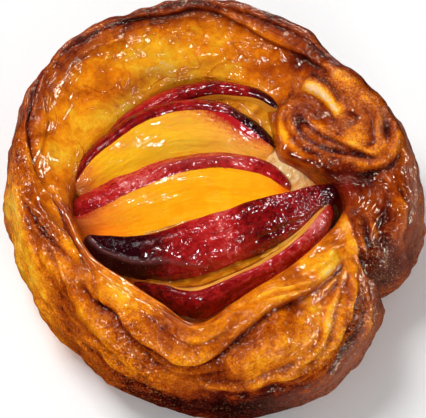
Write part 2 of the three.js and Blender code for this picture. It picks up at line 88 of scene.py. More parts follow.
# Edges of the dough's layers: side (1: the inner layer on top, -1: the outer one), lift and its reach, groove
# and its reach, and the line as (angle, mm outside the crest). Side 0 is a ridge or furrow, with no groove.
FOLDS = {
    "inner leaf": (1, 0.9, 4, 1.7, 2.6, [(220, 1.5), (228, 4.2), (236, 4.3), (244, 7.8), (254, 9.6),
        (264, 8.9), (271, 7.4), (280, 3.6), (288, 1.2), (304, 0.8), (316, 2.2), (328, 2)]),
    "long pleat": (-1, 1, 2.6, 1.1, 3, [(264, 14.4), (272, 15.6), (278, 17.6), (285, 16.5), (292, 16.2),
        (298, 14.5), (302, 13), (306, 10), (310, 7.4), (315, 6.4), (320, 4.8), (327, 2.5)]),
    "middle pleat": (-1, 1, 1.8, 1, 2.2, [(276, 21), (288, 20.5), (296, 19.5), (301, 18.1), (306, 16),
        (309, 14), (313, 12.6), (322, 7.8), (328, 4.5)]),
    "outer pleat": (-1, 0.9, 2, 0.9, 2, [(290, 24.5), (302, 23.2), (307, 21.8), (312, 19.2), (316, 18),
        (320, 16.5), (326, 13.4), (331, 9)]),
    "left band": (-1, 0.9, 2.2, 1.5, 1.6, [(144, 2.6), (152, 1.4), (164, -0.5), (172, -1.6), (178, -3.2),
        (183, -5.2), (190, -5.8), (198, -5.2), (208, -3.6), (218, -1.2)]),
    "far edge": (-1, 1, 2, 1.2, 2.4, [(34, -2), (46, -2.3), (54, -3.8), (61, -5.4), (73, -6.1), (82, -4.3),
        (89, -2.4), (94, -1.4), (104, -2.2), (116, 0), (132, 1.2), (140, 1.4)]),
    "low ridge": (0, 1, 1.9, [(210, 3.5), (220, 6.2), (228, 9), (236, 11.9), (243, 14.5), (250, 16.5),
        (257, 19.2), (266, 20)]),
    "side step": (1, 0.7, 2.6, 0.9, 2.2, [(178, 7.6), (184, 8.6), (194, 11.3), (206, 16.2), (219, 19),
        (234, 19.3), (247, 21.9), (258, 23.4), (268, 23.5)]),
    "side line": (-1, 0.6, 1.6, 0.7, 1.4, [(186, 4.6), (195, 6), (210, 9.6), (222, 13.2), (234, 15.4),
        (244, 18.2)]),
    # thinner edges, which only this finer surface has
    "left ridge": (0, 0.8, 1.5, [(186, 1.6), (192, 0.3), (197, -0.9), (202, -1.6), (210, -1.6),
        (216, -1.3)]),
    "left crease": (0, -0.9, 0.6, [(182, 4.6), (190, 3.4), (196, 2.6), (202, 1.4), (208, 0.6), (214, 0.4)]),
    "hollow crease": (0, -0.8, 0.6, [(203, 3.2), (205, 3.6), (210, 4.2), (216, 6.5), (220, 9.8),
        (222, 13.2)]),
    "lip line": (0, -0.6, 0.5, [(196, -5), (204, -4.6), (210, -4.4), (218, -3.2), (224, -1)]),
    "notch crease": (0, -1, 0.6, [(222, -1.2), (224, 0.3), (227, 2.4), (230, 4.6), (232, 5.8), (236, 6.2)]),
    "leaf edge": (1, 0.6, 1.2, 0.7, 1.2, [(238, 2.2), (244, 1.6), (249, 2), (254, 3), (262, 3.4), (270, 2.6),
        (278, 1.6)]),
    "leaf ridge": (0, 0.8, 1.1, [(236, 5.4), (240, 6.2), (244, 7.4), (247, 8.8), (251, 10.8), (255, 12.4)]),
    "leaf crease": (0, -0.9, 0.6, [(242, 9.2), (246, 10.2), (250, 11.6), (254, 13), (260, 13.2), (268, 12.6),
        (276, 12.4)]),
    "step line": (-1, 0.6, 1.2, 0.7, 1, [(216, 13), (222, 15.8), (228, 16.4), (236, 15.6), (242, 17.6),
        (250, 20.4)]),
    "lump line": (0, 0.7, 1, [(218, 22), (224, 21.6), (230, 22.2), (238, 23.4), (246, 22.4)]),
    "low thread": (0, -0.7, 0.5, [(244, 18.8), (246, 19.7), (250, 23.2), (253, 24.6), (258, 23.8),
        (266, 24.4)]),
    "first gold": (0, 0.6, 0.8, [(306, -5), (310, -4), (316, -1.5), (322, -0.7), (327, -1.3), (332, -3)]),
    "second gold": (0, 0.8, 0.8, [(284, -4.6), (288, -4), (298, -2.3), (306, -1), (314, 0.6), (320, 1.2),
        (328, 0.8)]),
    "third gold": (0, 0.9, 0.9, [(290, -1.8), (294, -1.1), (304, 0.4), (312, 2.4), (318, 3.4), (326, 3.4)]),
    "gold crease": (0, -0.7, 0.45, [(288, -2.6), (296, -1.8), (304, -0.6), (312, 1.4), (320, 2.4),
        (328, 2.2)]),
    "flank crease": (0, -0.9, 0.6, [(292, 18.2), (296, 17.2), (302, 15.2), (307, 12.6), (312, 9.4),
        (317, 7.8), (322, 5.8)]),
    "flank ridge": (0, 1.4, 0.8, [(286, 18.6), (290, 18.9), (296, 18.4), (302, 16.8), (307, 14.9),
        (312, 12.2), (318, 10.4), (325, 8)]),
    "flank fold": (-1, 0.9, 1.1, 0.9, 1, [(296, 21.8), (299, 20.8), (304, 18.8), (308, 17.2), (312, 15.6),
        (316, 14.2), (322, 11.3), (328, 8)]),
    "outer thread": (0, -1.1, 0.55, [(300, 24.4), (304, 22.4), (308, 20.6), (312, 18.6), (318, 15.4),
        (324, 12)]),
    "outer ridge": (0, 1.5, 0.8, [(306, 24.6), (310, 22.4), (314, 20.3), (318, 17.9), (323, 14.3),
        (328, 10.4)]),
    "last pleat": (-1, 0.6, 1.2, 0.7, 1, [(300, 27.6), (306, 26), (310, 24.4), (316, 22.9), (321, 20.2),
        (327, 15.8)]),
    "under pleat": (-1, 0.6, 1.2, 0.8, 1.2, [(266, 18), (272, 19), (276, 20.2), (281, 22.8), (284, 22.4),
        (289, 22.2), (294, 22.6), (299, 22.4)]),
    "petal": (-1, 0.5, 1.2, 0.5, 1.2, [(146, -0.2), (150, -1.2), (153, -4.1), (157, -5.8), (163, -5.6),
        (171, -3.2)]),
    "far line": (-1, 0.6, 1.4, 0.7, 1.2, [(42, 1.6), (52, 0.4), (64, -1), (74, -1.6), (86, -0.6), (94, 0.5),
        (108, 1), (118, 1.6), (130, 3.4)]),
    "far thread": (-1, 0.4, 0.9, 0.5, 0.8, [(50, 3.2), (62, 1.8), (76, 1.2), (90, 2.4), (104, 3.2),
        (120, 4)]),
    "neck pleat": (1, 0.5, 1.2, 0.6, 1, [(296, 3.4), (304, 3.6), (312, 4.4), (318, 4.6), (326, 3.4)]),
    "low pleat": (-1, 0.5, 1, 0.6, 1, [(246, 27), (258, 28), (270, 27.5), (284, 28.6), (298, 28),
        (312, 25)]),
}
FOLD_EDGE = 0.45  # how sharply a layer's edge drops
FOLD_TAPER = 9  # degrees over which a fold fades at its ends
FOLD_HOLD = 4  # mm from its line within which a fold sets the layers' depth
PLAIN_SHARE = 0.35  # how much the distance from the crest counts in that depth
DEGREES_PER_MM = 57.3 / 45  # round the pastry, at a radius of 45 mm
FURROW_SHADE = 0.7  # painted shade in a furrow for each mm of its depth
GROOVE_SHADE = (0.45, 0.55)  # mm past a layer's edge where the painted shade of its groove peaks, and its reach

# Folds of the rolled corner on the far right and of the lobe below it, on plan: how much darker the line is
# (painted shade along the creases, a painted highlight on the tongue), then side and sizes as above, and the
# line, whose higher side lies on its left
CORNER = {
    "shelf": (0, 1, 0.7, 2.5, 1.4, 2.2, [(17.3, 25.1), (17.2, 18.9), (18.4, 13.5), (20.9, 10.2), (23.3, 8.7),
        (25.9, 8.2), (28.4, 6.8), (31.4, 5), (35.6, 4.7), (39.6, 4.5), (43.2, 4.9), (46.2, 6.1), (48.6, 9)]),
    "yellow fold": (-0.2, 0, 0.5, 1.2, [(18.9, 24.6), (17.8, 20.8), (18.4, 15.8), (20.8, 11.9), (23.6, 10)]),
    "yellow crease": (0.14, 0, -0.9, 0.55, [(18.8, 22.3), (19.3, 17.5), (21.6, 12.6), (24.8, 10.2),
        (28.2, 8.6)]),
    "outer band": (-0.02, 0, 0.7, 1, [(19.8, 23.2), (20.7, 17.2), (23.4, 13.2), (27, 10.7), (30.6, 9),
        (34.3, 7.7), (38, 6.7), (41.8, 5.9), (45, 6.9), (47.1, 10), (47.5, 13.8), (46.2, 17.4), (43.6, 20.8),
        (39.9, 24), (35.9, 27), (31.5, 30.5)]),
    "band crease": (0.2, 0, -1, 0.6, [(21.7, 19.4), (23.2, 14.9), (26.5, 12), (30.3, 10.2), (34.3, 9.3),
        (38.6, 8.3), (42.6, 7.3)]),
    "ridge crease": (0.2, 0, -0.9, 0.6, [(22.3, 20.2), (24.8, 17.1), (27.9, 14.3), (31.7, 12.2), (36, 9.9),
        (39.7, 8.5)]),
    "main ridge": (-0.06, 0, 0.9, 1.1, [(19.9, 25.2), (22.8, 22), (24.9, 19.5), (28, 16.2), (31.2, 13.6),
        (35.5, 11.2), (38.7, 9.5), (41.8, 8.2), (43.9, 9.5), (43.6, 12.9), (43, 16.5), (41.8, 19.5),
        (39.5, 22.2), (36.1, 25.6), (33.1, 28.6), (28.6, 32.6)]),
    # The tongue's paler tone is a painted highlight: the smooth inside of the fold catching the light
    "tongue": (-0.38, 0, 1.5, 1.7, [(24.4, 28.6), (26.9, 26.5), (29.6, 23.7), (31.5, 20.9), (33.7, 18)]),
    "tongue's far side": (0.16, 0, -0.9, 0.6, [(25.4, 31.2), (29.4, 27.9), (31.9, 24.8), (33.2, 21.2)]),
    "tongue's near side": (0.14, 0, -0.9, 0.8, [(22.9, 26.6), (26, 24.7), (28.9, 22.2), (30.7, 19.4),
        (32, 16.6)]),
    "behind": (0.1, 0, 0.8, 0.9, [(27.6, 30.6), (31.7, 27), (34.3, 23.2), (35.9, 19.8), (35.6, 17.4),
        (34, 16)]),
    "third": (-0.02, 0, 0.7, 1, [(33, 26.9), (36.6, 22.6), (38.6, 19.2), (39.3, 16.5)]),
    "core": (0.12, 0, -0.6, 0.7, [(33.6, 18.9), (36, 18.6), (37.6, 17), (35.4, 15.6)]),
    "crescent": (0.08, 0, -1, 0.8, [(41.2, 17), (41.2, 14), (41.4, 11.4), (39.6, 9.9)]),
    "neck edge": (0, 1, 0.9, 2.2, 1.3, 1.4, [(43.5, -25.5), (41.8, -24.1), (39.3, -23.1), (37.6, -20.4),
        (36.7, -17.5), (36.1, -14.6), (35.4, -9.9), (33.6, -5.4)]),
    "rough ridge": (0.16, 0, 2, 1.3, [(36.9, -7.6), (37.3, -12.1), (37.6, -15.8), (39, -18.3), (42, -19.4),
        (46, -18.6)]),
    "ridge's far side": (0.14, 0, -1, 0.8, [(38.9, -7.6), (39.4, -12), (39.8, -15), (41.4, -17)]),
    "lobe rim": (-0.04, 0, 0.8, 2, [(41.5, 4), (46.1, 0.8), (48.1, -2.5), (49.1, -6.5), (48.9, -10),
        (48, -12.9), (46.5, -15.3)]),
    "lobe crease": (0.16, 0, -0.8, 0.55, [(47.5, 0), (49.3, -3), (50.6, -4.9), (50.2, -8.3), (49.2, -12.6)]),
}
CORNER_PATCH = (33.5, 16.5, 18.5, 11.5, -38, 1)  # where the corner's folds take the rim's place
PATCH_FADE = (0.3, 0.2)  # where on that bell the patch starts, and how much higher it is full
CORNER_FROM = (10, -32)  # those folds all lie beyond this x and this y
LINE_STEPS = 10  # how finely one of them is followed, as steps for each point given
LINE_TAPER = 3  # mm over which it fades at its ends
LINE_HOLD = 2.2  # mm from its line within which it sets the layers' depth
PLAIN_LINE_SHARE = 0.05  # how much x counts in that depth
TONE_REACH = 1.15  # how far its darker tone reaches, as a share of its lift's reach

# Crumpled places on plan
CRUMPLED = [
    (37.6, -12.5, 6.5, 1.8, -84, 1), (41.8, -19, 5, 1.8, 5, 1), (35, -36, 12, 3.4, 51, 0.8),
    (-20, -42, 5, 1.8, -50, 0.5),
]

# Bulges and hollows on plan, in mm
SWELLS = [
    (19, -45, 14, 5, 22, 1.6), (32, 16.5, 15, 9, -38, 1.2), (26.8, 20, 4.8, 2.4, -42, -1.5),
    (44.9, 14, 3, 1.4, 80, -2.6), (43.6, -10.5, 7, 3.2, 78, -3.4), (45, -15, 2.6, 2.2, 0, -1.4),
    (-27, -35, 5, 2, -40, -0.8), (-39.5, -31, 6.5, 2.2, -55, -1),
]

# Unevenness as (size in mm, seed, height)
CRUST_LUMPS = [(16, 3, 0.5), (6, 5, 0.2), (2.6, 8, 0.06)]
LAYER_LUMPS = (5, 14, 0.1)
LAYER_SQUEEZE = 3  # how much narrower those are across the layers
CRUMPLES = (1.9, 41, 0.3)
SLICE_LUMPS = (7, 11, 0.16)
CREAM_LUMPS = [(9, 21, 0.25), (3, 22, 0.08)]
SYRUP_LUMPS = (4, 31, 0.2)

# Peach slices: the front face's lean, the depth to the core, how far the skin bulges as a share of the
# thickness, and the skin's middle as (x, y, z, thickness)
SLICES = {
    "peach_1": (20, 11, 0.45, [(-30.5, 13.8, 24, 4.5), (-24.9, 21.2, 25.3, 5.6), (-19.2, 25.4, 26, 6),
        (-13.9, 28.9, 26.4, 6), (-6, 31.8, 26.8, 5.6), (0.5, 32.9, 27, 5.2), (7.1, 32.3, 26.9, 4.4),
        (12.5, 29.4, 29.4, 3.4), (17, 24.4, 31.4, 2.6)]),
    "peach_2": (60, 18, 0.42, [(-37.2, 4.4, 23.5, 5), (-32.8, 11.4, 25, 7), (-26.6, 16.9, 26.3, 7.6),
        (-17.9, 22.8, 27.6, 7.4), (-7.4, 25.7, 28.3, 7), (3.2, 24.7, 28.2, 6.6), (10.3, 20.4, 26.8, 6.6),
        (16.2, 15.4, 25.4, 6.2)]),
    "peach_3": (46, 20, 0.45, [(-37, -3, 22.8, 9.5), (-29.6, -0.2, 24.6, 10), (-20, 4.2, 26.3, 9),
        (-10, 8, 27.3, 7.8), (-3.4, 9.4, 27.6, 7.4), (3.2, 9.6, 27.7, 7.2), (9.7, 8.7, 27.3, 7.2),
        (15, 6.9, 26.6, 7), (20.5, 3.2, 24.6, 5.5)]),
    "peach_4": (-32, 13, 0.32, [(-33.4, -12.4, 25, 6), (-29.7, -15, 25.6, 8.4), (-21.8, -17.6, 26.8, 11),
        (-16.6, -18, 27.4, 12.6), (-10, -17.4, 27.9, 14), (-3.4, -15.4, 28.2, 15), (3.2, -13.1, 28.4, 15),
        (9.7, -10.4, 28.3, 14.6), (16.3, -7.5, 28, 13.3), (22.9, -4.2, 27.4, 11), (28.2, -0.5, 26.6, 8),
        (32.6, 2.5, 26, 5)]),
    "peach_5": (-62, 10, 0.36, [(-20.4, -22.8, 21.8, 3.6), (-12.6, -26.6, 23, 7), (-8.2, -29, 23.2, 9),
        (-3.4, -29.6, 23.6, 9.6), (3.2, -26.6, 24.3, 8), (9.7, -23.1, 24.8, 6.4), (16.3, -19.4, 25.2, 6.2),
        (20.3, -16.3, 25.5, 6.6), (24.2, -13.2, 25.7, 7.4), (27.6, -8.7, 25.7, 7.6), (31, -2.2, 25.3, 5.5)]),
}
SLICE_STEPS = 150  # stations along a slice
END_ROUND = 0.09  # share of a slice's length over which an end rounds off
END_LEAST = 0.02  # share of the section left at the very tip
CORE_SHARE = 0.26  # thickness at the core as a share of the thickness at the skin
CORE_BULGE = 0.03  # how far the core bulges, as a share of the depth
CHORD_SHARE = 0.5  # how much a section turns back towards the slice's straight line from end to end
DEPTH_LEAST = 0.1  # share of the depth left at the ends
DEPTH_ROUND = 0.45  # how full the depth stays towards the ends: lower is fuller
SKIN_ARC = 80  # degrees that the skin's section goes round on each side of its middle
SKIN_BACK = 0.17  # about the cosine of that, taken off so that the skin begins level with the faces
FACE_START = 0.04  # where the faces start below the skin, as a share of the depth
FOLD_END = 0.04  # share of a slice's length over which a fold in its skin fades at its ends
FIBRE_OFFSET = 8  # moves each slice's fibres to a place of their own, by this many times its depth

# Pastry cream: its level, the mound and the dip on it, and a dark red patch by the slices' right ends,
# partly a red stain and partly painted shade in that gap
CREAM_LEVEL = 19
CREAM_MOUNDS = [(21, 10.5, 10.5, 10.5, 0, 9), (2, -34, 12, 12, 0, -1)]
CREAM_JUICE_AND_SHADE = [(31, -6, 8, 6, 80, 1)]


def smooth(x):
    """0 below 0, 1 above 1, and three x squared less two x cubed between."""
    x = np.clip(x, 0, 1)
    return x * x * (3 - 2 * x)


def rise(x, start, width):
    """0 up to start, 1 from start plus width on, and smooth between."""
    return smooth((x - start) / width)


def fall(x, end, width):
    """1 up to end less width, 0 from end on, and smooth between."""
    return smooth((end - x) / width)


def unit(vectors):
    """The same directions at length 1, and 0 where there is none."""
    return vectors / np.maximum(np.linalg.norm(vectors, axis=-1, keepdims=True), 1e-6)


def hermite(t, p0, p1, m0, m1):
    """Cubic from p0 to p1 as t goes from 0 to 1, with slopes m0 and m1 at its ends."""
    t2 = t * t
    t3 = t2 * t
    return (2 * t3 - 3 * t2 + 1) * p0 + (t3 - 2 * t2 + t) * m0 + (3 * t2 - 2 * t3) * p1 + (t3 - t2) * m1


def catmull(stops, at):
    """Catmull-Rom curve through the rows of stops at the row numbers at, with its ends repeated."""
    p = np.asarray(stops, float)
    last = len(p) - 1
    i = np.minimum(np.floor(at).astype(int), last - 1)
    p0, p1, p2, p3 = (p[np.clip(i + k, 0, last)] for k in (-1, 0, 1, 2))
    return hermite((at - i)[:, None], p1, p2, (p2 - p0) / 2, (p3 - p1) / 2)


def round_curves(degrees, keys):
    """At the given angles, one closed smooth curve for each column of the rows, which are keyed by angle."""
    angles, *columns = np.array(keys, float).T
    gaps = (np.roll(angles, -1) - np.roll(angles, 1)) % 360
    i = (np.searchsorted(angles, degrees, side="right") - 1) % len(angles)
    j = (i + 1) % len(angles)
    span = (angles[j] - angles[i]) % 360
    t = ((degrees - angles[i]) % 360) / span
    for values in columns:
        slopes = (np.roll(values, -1) - np.roll(values, 1)) / gaps
        yield hermite(t, values[i], values[j], slopes[i] * span, slopes[j] * span)


def open_curve(degrees, points):
    """A smooth curve through (angle, value) points: its value, its slope, and degrees inside its ends."""
    angles, values = np.array(points, float).T
    x = np.where(degrees < angles[0] - FOLD_TAPER, degrees + 360, degrees)
    inside = np.minimum(x - angles[0], angles[-1] - x)
    x = np.clip(x, angles[0], angles[-1])
    slopes = np.gradient(values, angles)
    i = np.clip(np.searchsorted(angles, x, side="right") - 1, 0, len(angles) - 2)
    span = angles[i + 1] - angles[i]
    t = (x - angles[i]) / span
    value = hermite(t, values[i], values[i + 1], slopes[i] * span, slopes[i + 1] * span)
    return value, slopes[i] * (1 - t) + slopes[i + 1] * t, inside


def stations(degrees):
    """Radius and height of the profile's stations, from the underside's middle over the crest to the floor's.
    The bare numbers are the shares at which a station lies between two lines."""
    wide, crest, top, lip, lip_z = round_curves(degrees, RIM)
    zero = np.zeros_like(wide)
    floor = zero + FLOOR_Z
    return np.array([
        (zero, zero),
        (wide * 0.45, zero),
        (wide - FOOT_INSET, zero),
        (wide - FOOT_EDGE[0], zero + FOOT_EDGE[1]),
        (wide - BELLY[0], zero + BELLY[1]),
        (wide - SIDE_INSET, top * 0.52),
        (wide * 0.62 + crest * 0.38, top * 0.86),
        (crest, top),
        ((crest + lip) / 2, top * 0.45 + lip_z * 0.55),
        (lip, lip_z),
        (lip - WALL_MID, lip_z * 0.55 + FLOOR_Z * 0.45),
        (lip - WALL_FOOT, floor),
        (lip * 0.5, floor),
        (zero, floor),
    ]).transpose(1, 0, 2)


def outward_normals(points):
    """Unit normals of a grid that closes round its first axis, from its two directions' cross product."""
    across = np.roll(points, -1, 0) - np.roll(points, 1, 0)
    normal = unit(np.cross(across, np.gradient(points, axis=1)))
    normal[:, 0] = (0, 0, -1)
    normal[:, -1] = (0, 0, 1)
    return normal


def waves(points, size, seed, height):
    """Sum of nine seeded plane waves of about the given size, each a third of the height."""
    rng = np.random.default_rng(seed)
    total = np.zeros(points.shape[:-1])
    for _ in range(9):
        direction = unit(rng.normal(size=3))
        wave = size * rng.uniform(0.7, 1.5)
        total += np.sin(points @ direction * (2 * np.pi / wave) + rng.uniform(0, 2 * np.pi))
    return height * total / 3


def bumps(x, y, rows):
    """Sum of oval bell shapes on plan."""
    total = np.zeros_like(x)
    for cx, cy, along, across, degrees, height in rows:
        turn = math.radians(degrees)
        p = (x - cx) * math.cos(turn) + (y - cy) * math.sin(turn)
        q = (y - cy) * math.cos(turn) - (x - cx) * math.sin(turn)
        total += height * np.exp(-(p / along) ** 2 - (q / across) ** 2)
    return total


def layer_edge(d, side, lift, up, groove=0, low=1):
    """Height and painted shade at d mm from a fold's line. With a side, a layer steps down by a tanh, and
    lift and groove fade exponentially beside it. Without one it is a bell-shaped ridge or furrow."""
    if side == 0:
        bell = lift * np.exp(-(d / up) ** 2)
        return bell, np.maximum(-bell, 0) * FURROW_SHADE
    s = d * side
    upper = 0.5 - 0.5 * np.tanh(s / FOLD_EDGE)
    height = upper * lift * np.exp(-np.abs(np.minimum(s, 0)) / up)
    height -= (1 - upper) * groove * np.exp(-np.maximum(s, 0) / low)
    return height, groove * np.exp(-((s - GROOVE_SHADE[0]) / GROOVE_SHADE[1]) ** 2)


def add_fold(totals, d, fade, hold, sizes):
    """Adds a fold to the totals of height, painted shade, layer depth and that depth's weight."""
    share = fade * np.exp(-(d / hold) ** 2)
    raised, dark = layer_edge(d, *sizes)
    totals += np.array([fade * raised, fade * dark, share * d, share])


def fold_relief(degrees, outside):
    """Height and painted shade that the rim's folds add, by the distance from each one's line, and the
    layers' depth, a mean of those distances in which the nearest lines count most."""
    none = np.zeros_like(outside)
    totals = np.array([none, none, PLAIN_SHARE * outside, PLAIN_SHARE + none])
    for *sizes, line in FOLDS.values():
        value, slope, inside = open_curve(degrees, line)
        d = (outside - value) * np.cos(np.arctan(slope * DEGREES_PER_MM))
        add_fold(totals, d, rise(inside, -2, FOLD_TAPER), FOLD_HOLD, sizes)
    height, crease, layer, weight = totals
    return height, crease, layer / weight


def beside_line(x, y, line):
    """Distance from a smooth line through points on plan, above 0 on its right, and mm inside its ends."""
    path = catmull(line, np.linspace(0, len(line) - 1, LINE_STEPS * len(line)))
    step = unit(np.gradient(path, axis=0))
    reached = np.concatenate([[0], np.cumsum(np.hypot(*np.diff(path, axis=0).T))])
    nearest = np.full(x.shape, np.inf)
    aside = np.zeros(x.shape)
    along = np.zeros(x.shape)
    for (px, py), (tx, ty), far in zip(path, step, reached):
        dx, dy = x - px, y - py
        distance = dx * dx + dy * dy
        closer = distance < nearest
        nearest = np.where(closer, distance, nearest)
        aside = np.where(closer, dx * ty - dy * tx, aside)
        along = np.where(closer, far + dx * tx + dy * ty, along)
    return aside, np.minimum(along, reached[-1] - along)


def corner_relief(x, y):
    """The rolled corner and the lobe: share of the surface where the rim's own folds give way, height,
    painted shade in the creases, layer depth, tone (with painted shade and highlight along some lines), and
    how much the lines here set the layer depth."""
    tone = np.zeros_like(x)
    totals = np.array([tone, tone, PLAIN_LINE_SHARE * x, PLAIN_LINE_SHARE + tone])
    for darker, *sizes, line in CORNER.values():
        aside, inside = beside_line(x, y, line)
        fade = rise(inside, -1, LINE_TAPER)
        add_fold(totals, aside, fade, LINE_HOLD, sizes)
        # Painted shade along the creases and a painted highlight on the tongue; elsewhere the crust's own tone
        tone += fade * darker * np.exp(-(aside / (TONE_REACH * sizes[2])) ** 2)
    height, crease, layer, weight = totals
    patch = rise(bumps(x, y, [CORNER_PATCH]), *PATCH_FADE)
    return patch, height, crease, layer / weight, tone, smooth(weight)


def linked(name, data):
    """A new object with this data in the scene."""
    made = bpy.data.objects.new(name, data)
    bpy.context.scene.collection.objects.link(made)
    return made


def mesh_object(name, points, capped, material, attributes):
    """A smooth mesh object at the origin, from a grid of millimetre points and named point values. The grid
    closes round its first axis, or if capped, round its second one with a cap at each end."""
    index = np.arange(points[..., 0].size).reshape(points.shape[:2])
    index = index if capped else index.T
    turned = np.roll(index, -1, 1)
    faces = np.stack([index[:-1], turned[:-1], turned[1:], index[1:]], -1).reshape(-1, 4).tolist()
    if capped:
        faces += [index[0].tolist()[::-1], index[-1].tolist()]
    mesh = bpy.data.meshes.new(name)
    mesh.from_pydata((points.reshape(-1, 3) * MM).tolist(), [], faces)
    mesh.polygons.foreach_set("use_smooth", np.ones(len(mesh.polygons), bool))
    for key, values in attributes.items():
        vector = values.ndim == 3
        attribute = mesh.attributes.new(key, "FLOAT_VECTOR" if vector else "FLOAT", "POINT")
        flat = np.ascontiguousarray(values, np.float32).ravel()
        attribute.data.foreach_set("vector" if vector else "value", flat)
    mesh.materials.append(material)
    mesh.update()
    return linked(name, mesh)


def srgb(code):
    """Linear colour from a six-digit hex code."""
    parts = [int(code[k:k + 2], 16) / 255 for k in (0, 2, 4)]
    return [p / 12.92 if p <= 0.04045 else ((p + 0.055) / 1.055) ** 2.4 for p in parts] + [1.0]


class Field:
    """A shader socket that takes part in Python sums, in which each operator adds a Math node."""

    def __init__(self, shade, socket):
        self.shade = shade
        self.socket = socket

    def math(self, operation, *others):
        """An operation on this socket and the others."""
        return self.shade.node("Math", {"operation": operation}, dict(enumerate((self,) + others)))

    def __add__(self, other):
        return self.math("ADD", other)

    __radd__ = __add__

    def __mul__(self, other):
        return self.math("MULTIPLY", other)

    __rmul__ = __mul__

    def __sub__(self, other):
        return self.math("SUBTRACT", other)

    def __rsub__(self, other):
        return self * -1 + other

    def absolute(self):
        """The value without its sign."""
        return self.math("ABSOLUTE")

    def step(self, low, high):
        """0 at low, 1 at high, and smooth between. High may be the lower of the two."""
        values = {"Value": self, "From Min": low, "From Max": high}
        return self.shade.node("MapRange", {"interpolation_type": "SMOOTHSTEP"}, values)


class Shade:
    """A material and its node tree. Constants go on the shader's own sockets."""

    def __init__(self, name, constants):
        self.material = bpy.data.materials.new(name)
        self.material.use_nodes = True
        self.tree = self.material.node_tree
        self.surface = self.tree.nodes["Principled BSDF"]
        for key, value in constants.items():
            self.surface.inputs[key].default_value = value

    def put(self, socket, value):
        """Links a field to the socket, or sets it to a hex colour, a number or a vector."""
        if isinstance(value, Field):
            self.tree.links.new(value.socket, socket)
        else:
            socket.default_value = srgb(value) if isinstance(value, str) else value

    def node(self, kind, settings, values, out=0):
        """Adds a node of the given kind, sets it, gives its inputs values or links, and returns an output."""
        node = self.tree.nodes.new("ShaderNode" + kind)
        for key, value in settings.items():
            setattr(node, key, value)
        for key, value in values.items():
            self.put(node.inputs[key], value)
        return Field(self, node.outputs[out])

    def value(self, name):
        """A number that the mesh carries at its points."""
        return self.node("Attribute", {"attribute_name": name}, {}, "Fac")

    def scaled(self, vector, factors):
        """The vector times the three factors."""
        return self.node("VectorMath", {"operation": "MULTIPLY"}, {0: vector, 1: factors})

    def place(self, sizes=(1, 1, 1)):
        """Object coordinates in millimetres, divided by sizes."""
        return self.scaled(self.node("TexCoord", {}, {}, "Object"), [1 / (MM * s) for s in sizes])

    def noise(self, size, detail=3, warp=0, where=None):
        """Noise from about 0 to 1 whose features are about size millimetres."""
        values = {"Vector": where or self.place(), "Scale": 1 / size, "Detail": detail, "Distortion": warp}
        return self.node("TexNoise", {}, values, "Fac")

    def drawn(self, name, sizes, detail=1, warp=0):
        """Noise whose features have these sizes along a vector that the mesh carries in millimetres."""
        vector = self.node("Attribute", {"attribute_name": name}, {}, "Vector")
        return self.noise(1, detail, warp, self.scaled(vector, [1 / s for s in sizes]))

    def cells(self, size):
        """Distance from the nearest of points that lie about size millimetres apart, 1 being that size."""
        return self.node("TexVoronoi", {}, {"Vector": self.place(), "Scale": 1 / size}, "Distance")

    def mix(self, share, low, high):
        """Colour low where share is 0, high where it is 1. The node has its colours at 6, 7 and output 2."""
        return self.node("Mix", {"data_type": "RGBA", "clamp_factor": True}, {0: share, 6: low, 7: high}, 2)

    def ramp(self, share, stops):
        """Colours along share, given as (share, hex colour) stops."""
        ramp = self.node("ValToRGB", {}, {"Fac": share}, "Color")
        elements = ramp.socket.node.color_ramp.elements
        while len(elements) < len(stops):
            elements.new(0.5)
        for element, (position, colour) in zip(elements, stops):
            element.position = position
            element.color = srgb(colour)
        return ramp

    def finish(self, colour, roughness, *heights):
        """Links colour and roughness, and a chain of bumps from heights in mm."""
        self.put(self.surface.inputs["Base Color"], colour)
        self.put(self.surface.inputs["Roughness"], roughness)
        values = {"Distance": MM, "Strength": 1}
        for height in heights:
            values["Normal"] = self.node("Bump", {}, {**values, "Height": height}, "Normal")
        self.put(self.surface.inputs["Normal"], values["Normal"])
        return self.material


# Browning of the crust by angle: level inside, where the browner band starts and how wide its edge is in mm
# outside the crest, and the level there. 0 is pale yellow and 1 nearly black.
BROWNING = [
    (0, 0.58, -8, 6, 0.55),
    (20, 0.6, -6, 6, 0.64),
    (40, 0.56, -4, 5, 0.72),
    (60, 0.34, -12, 10, 0.66),
    (80, 0.22, -10, 11, 0.68),
    (100, 0.2, -9, 10, 0.68),
    (125, 0.21, -8.5, 10, 0.66),
    (145, 0.24, -8, 9, 0.55),
    (165, 0.27, -6, 6, 0.5),
    (185, 0.36, 2, 6, 0.34),
    (205, 0.42, 8, 8, 0.3),
    (225, 0.42, 14, 8, 0.44),
    (245, 0.4, 16, 8, 0.66),
    (265, 0.42, 14, 7, 0.78),
    (285, 0.42, 17, 6, 0.78),
    (305, 0.4, 14, 6, 0.6),
    (322, 0.38, 6, 8, 0.5),
    (338, 0.42, -1, 4, 0.56),
]
CORNER_BROWNING = 0.58  # the level all over the rolled corner
RELIEF_LIGHT_AND_SHADE = 0.11  # painted light and shade: how much paler the crust is for each mm of relief
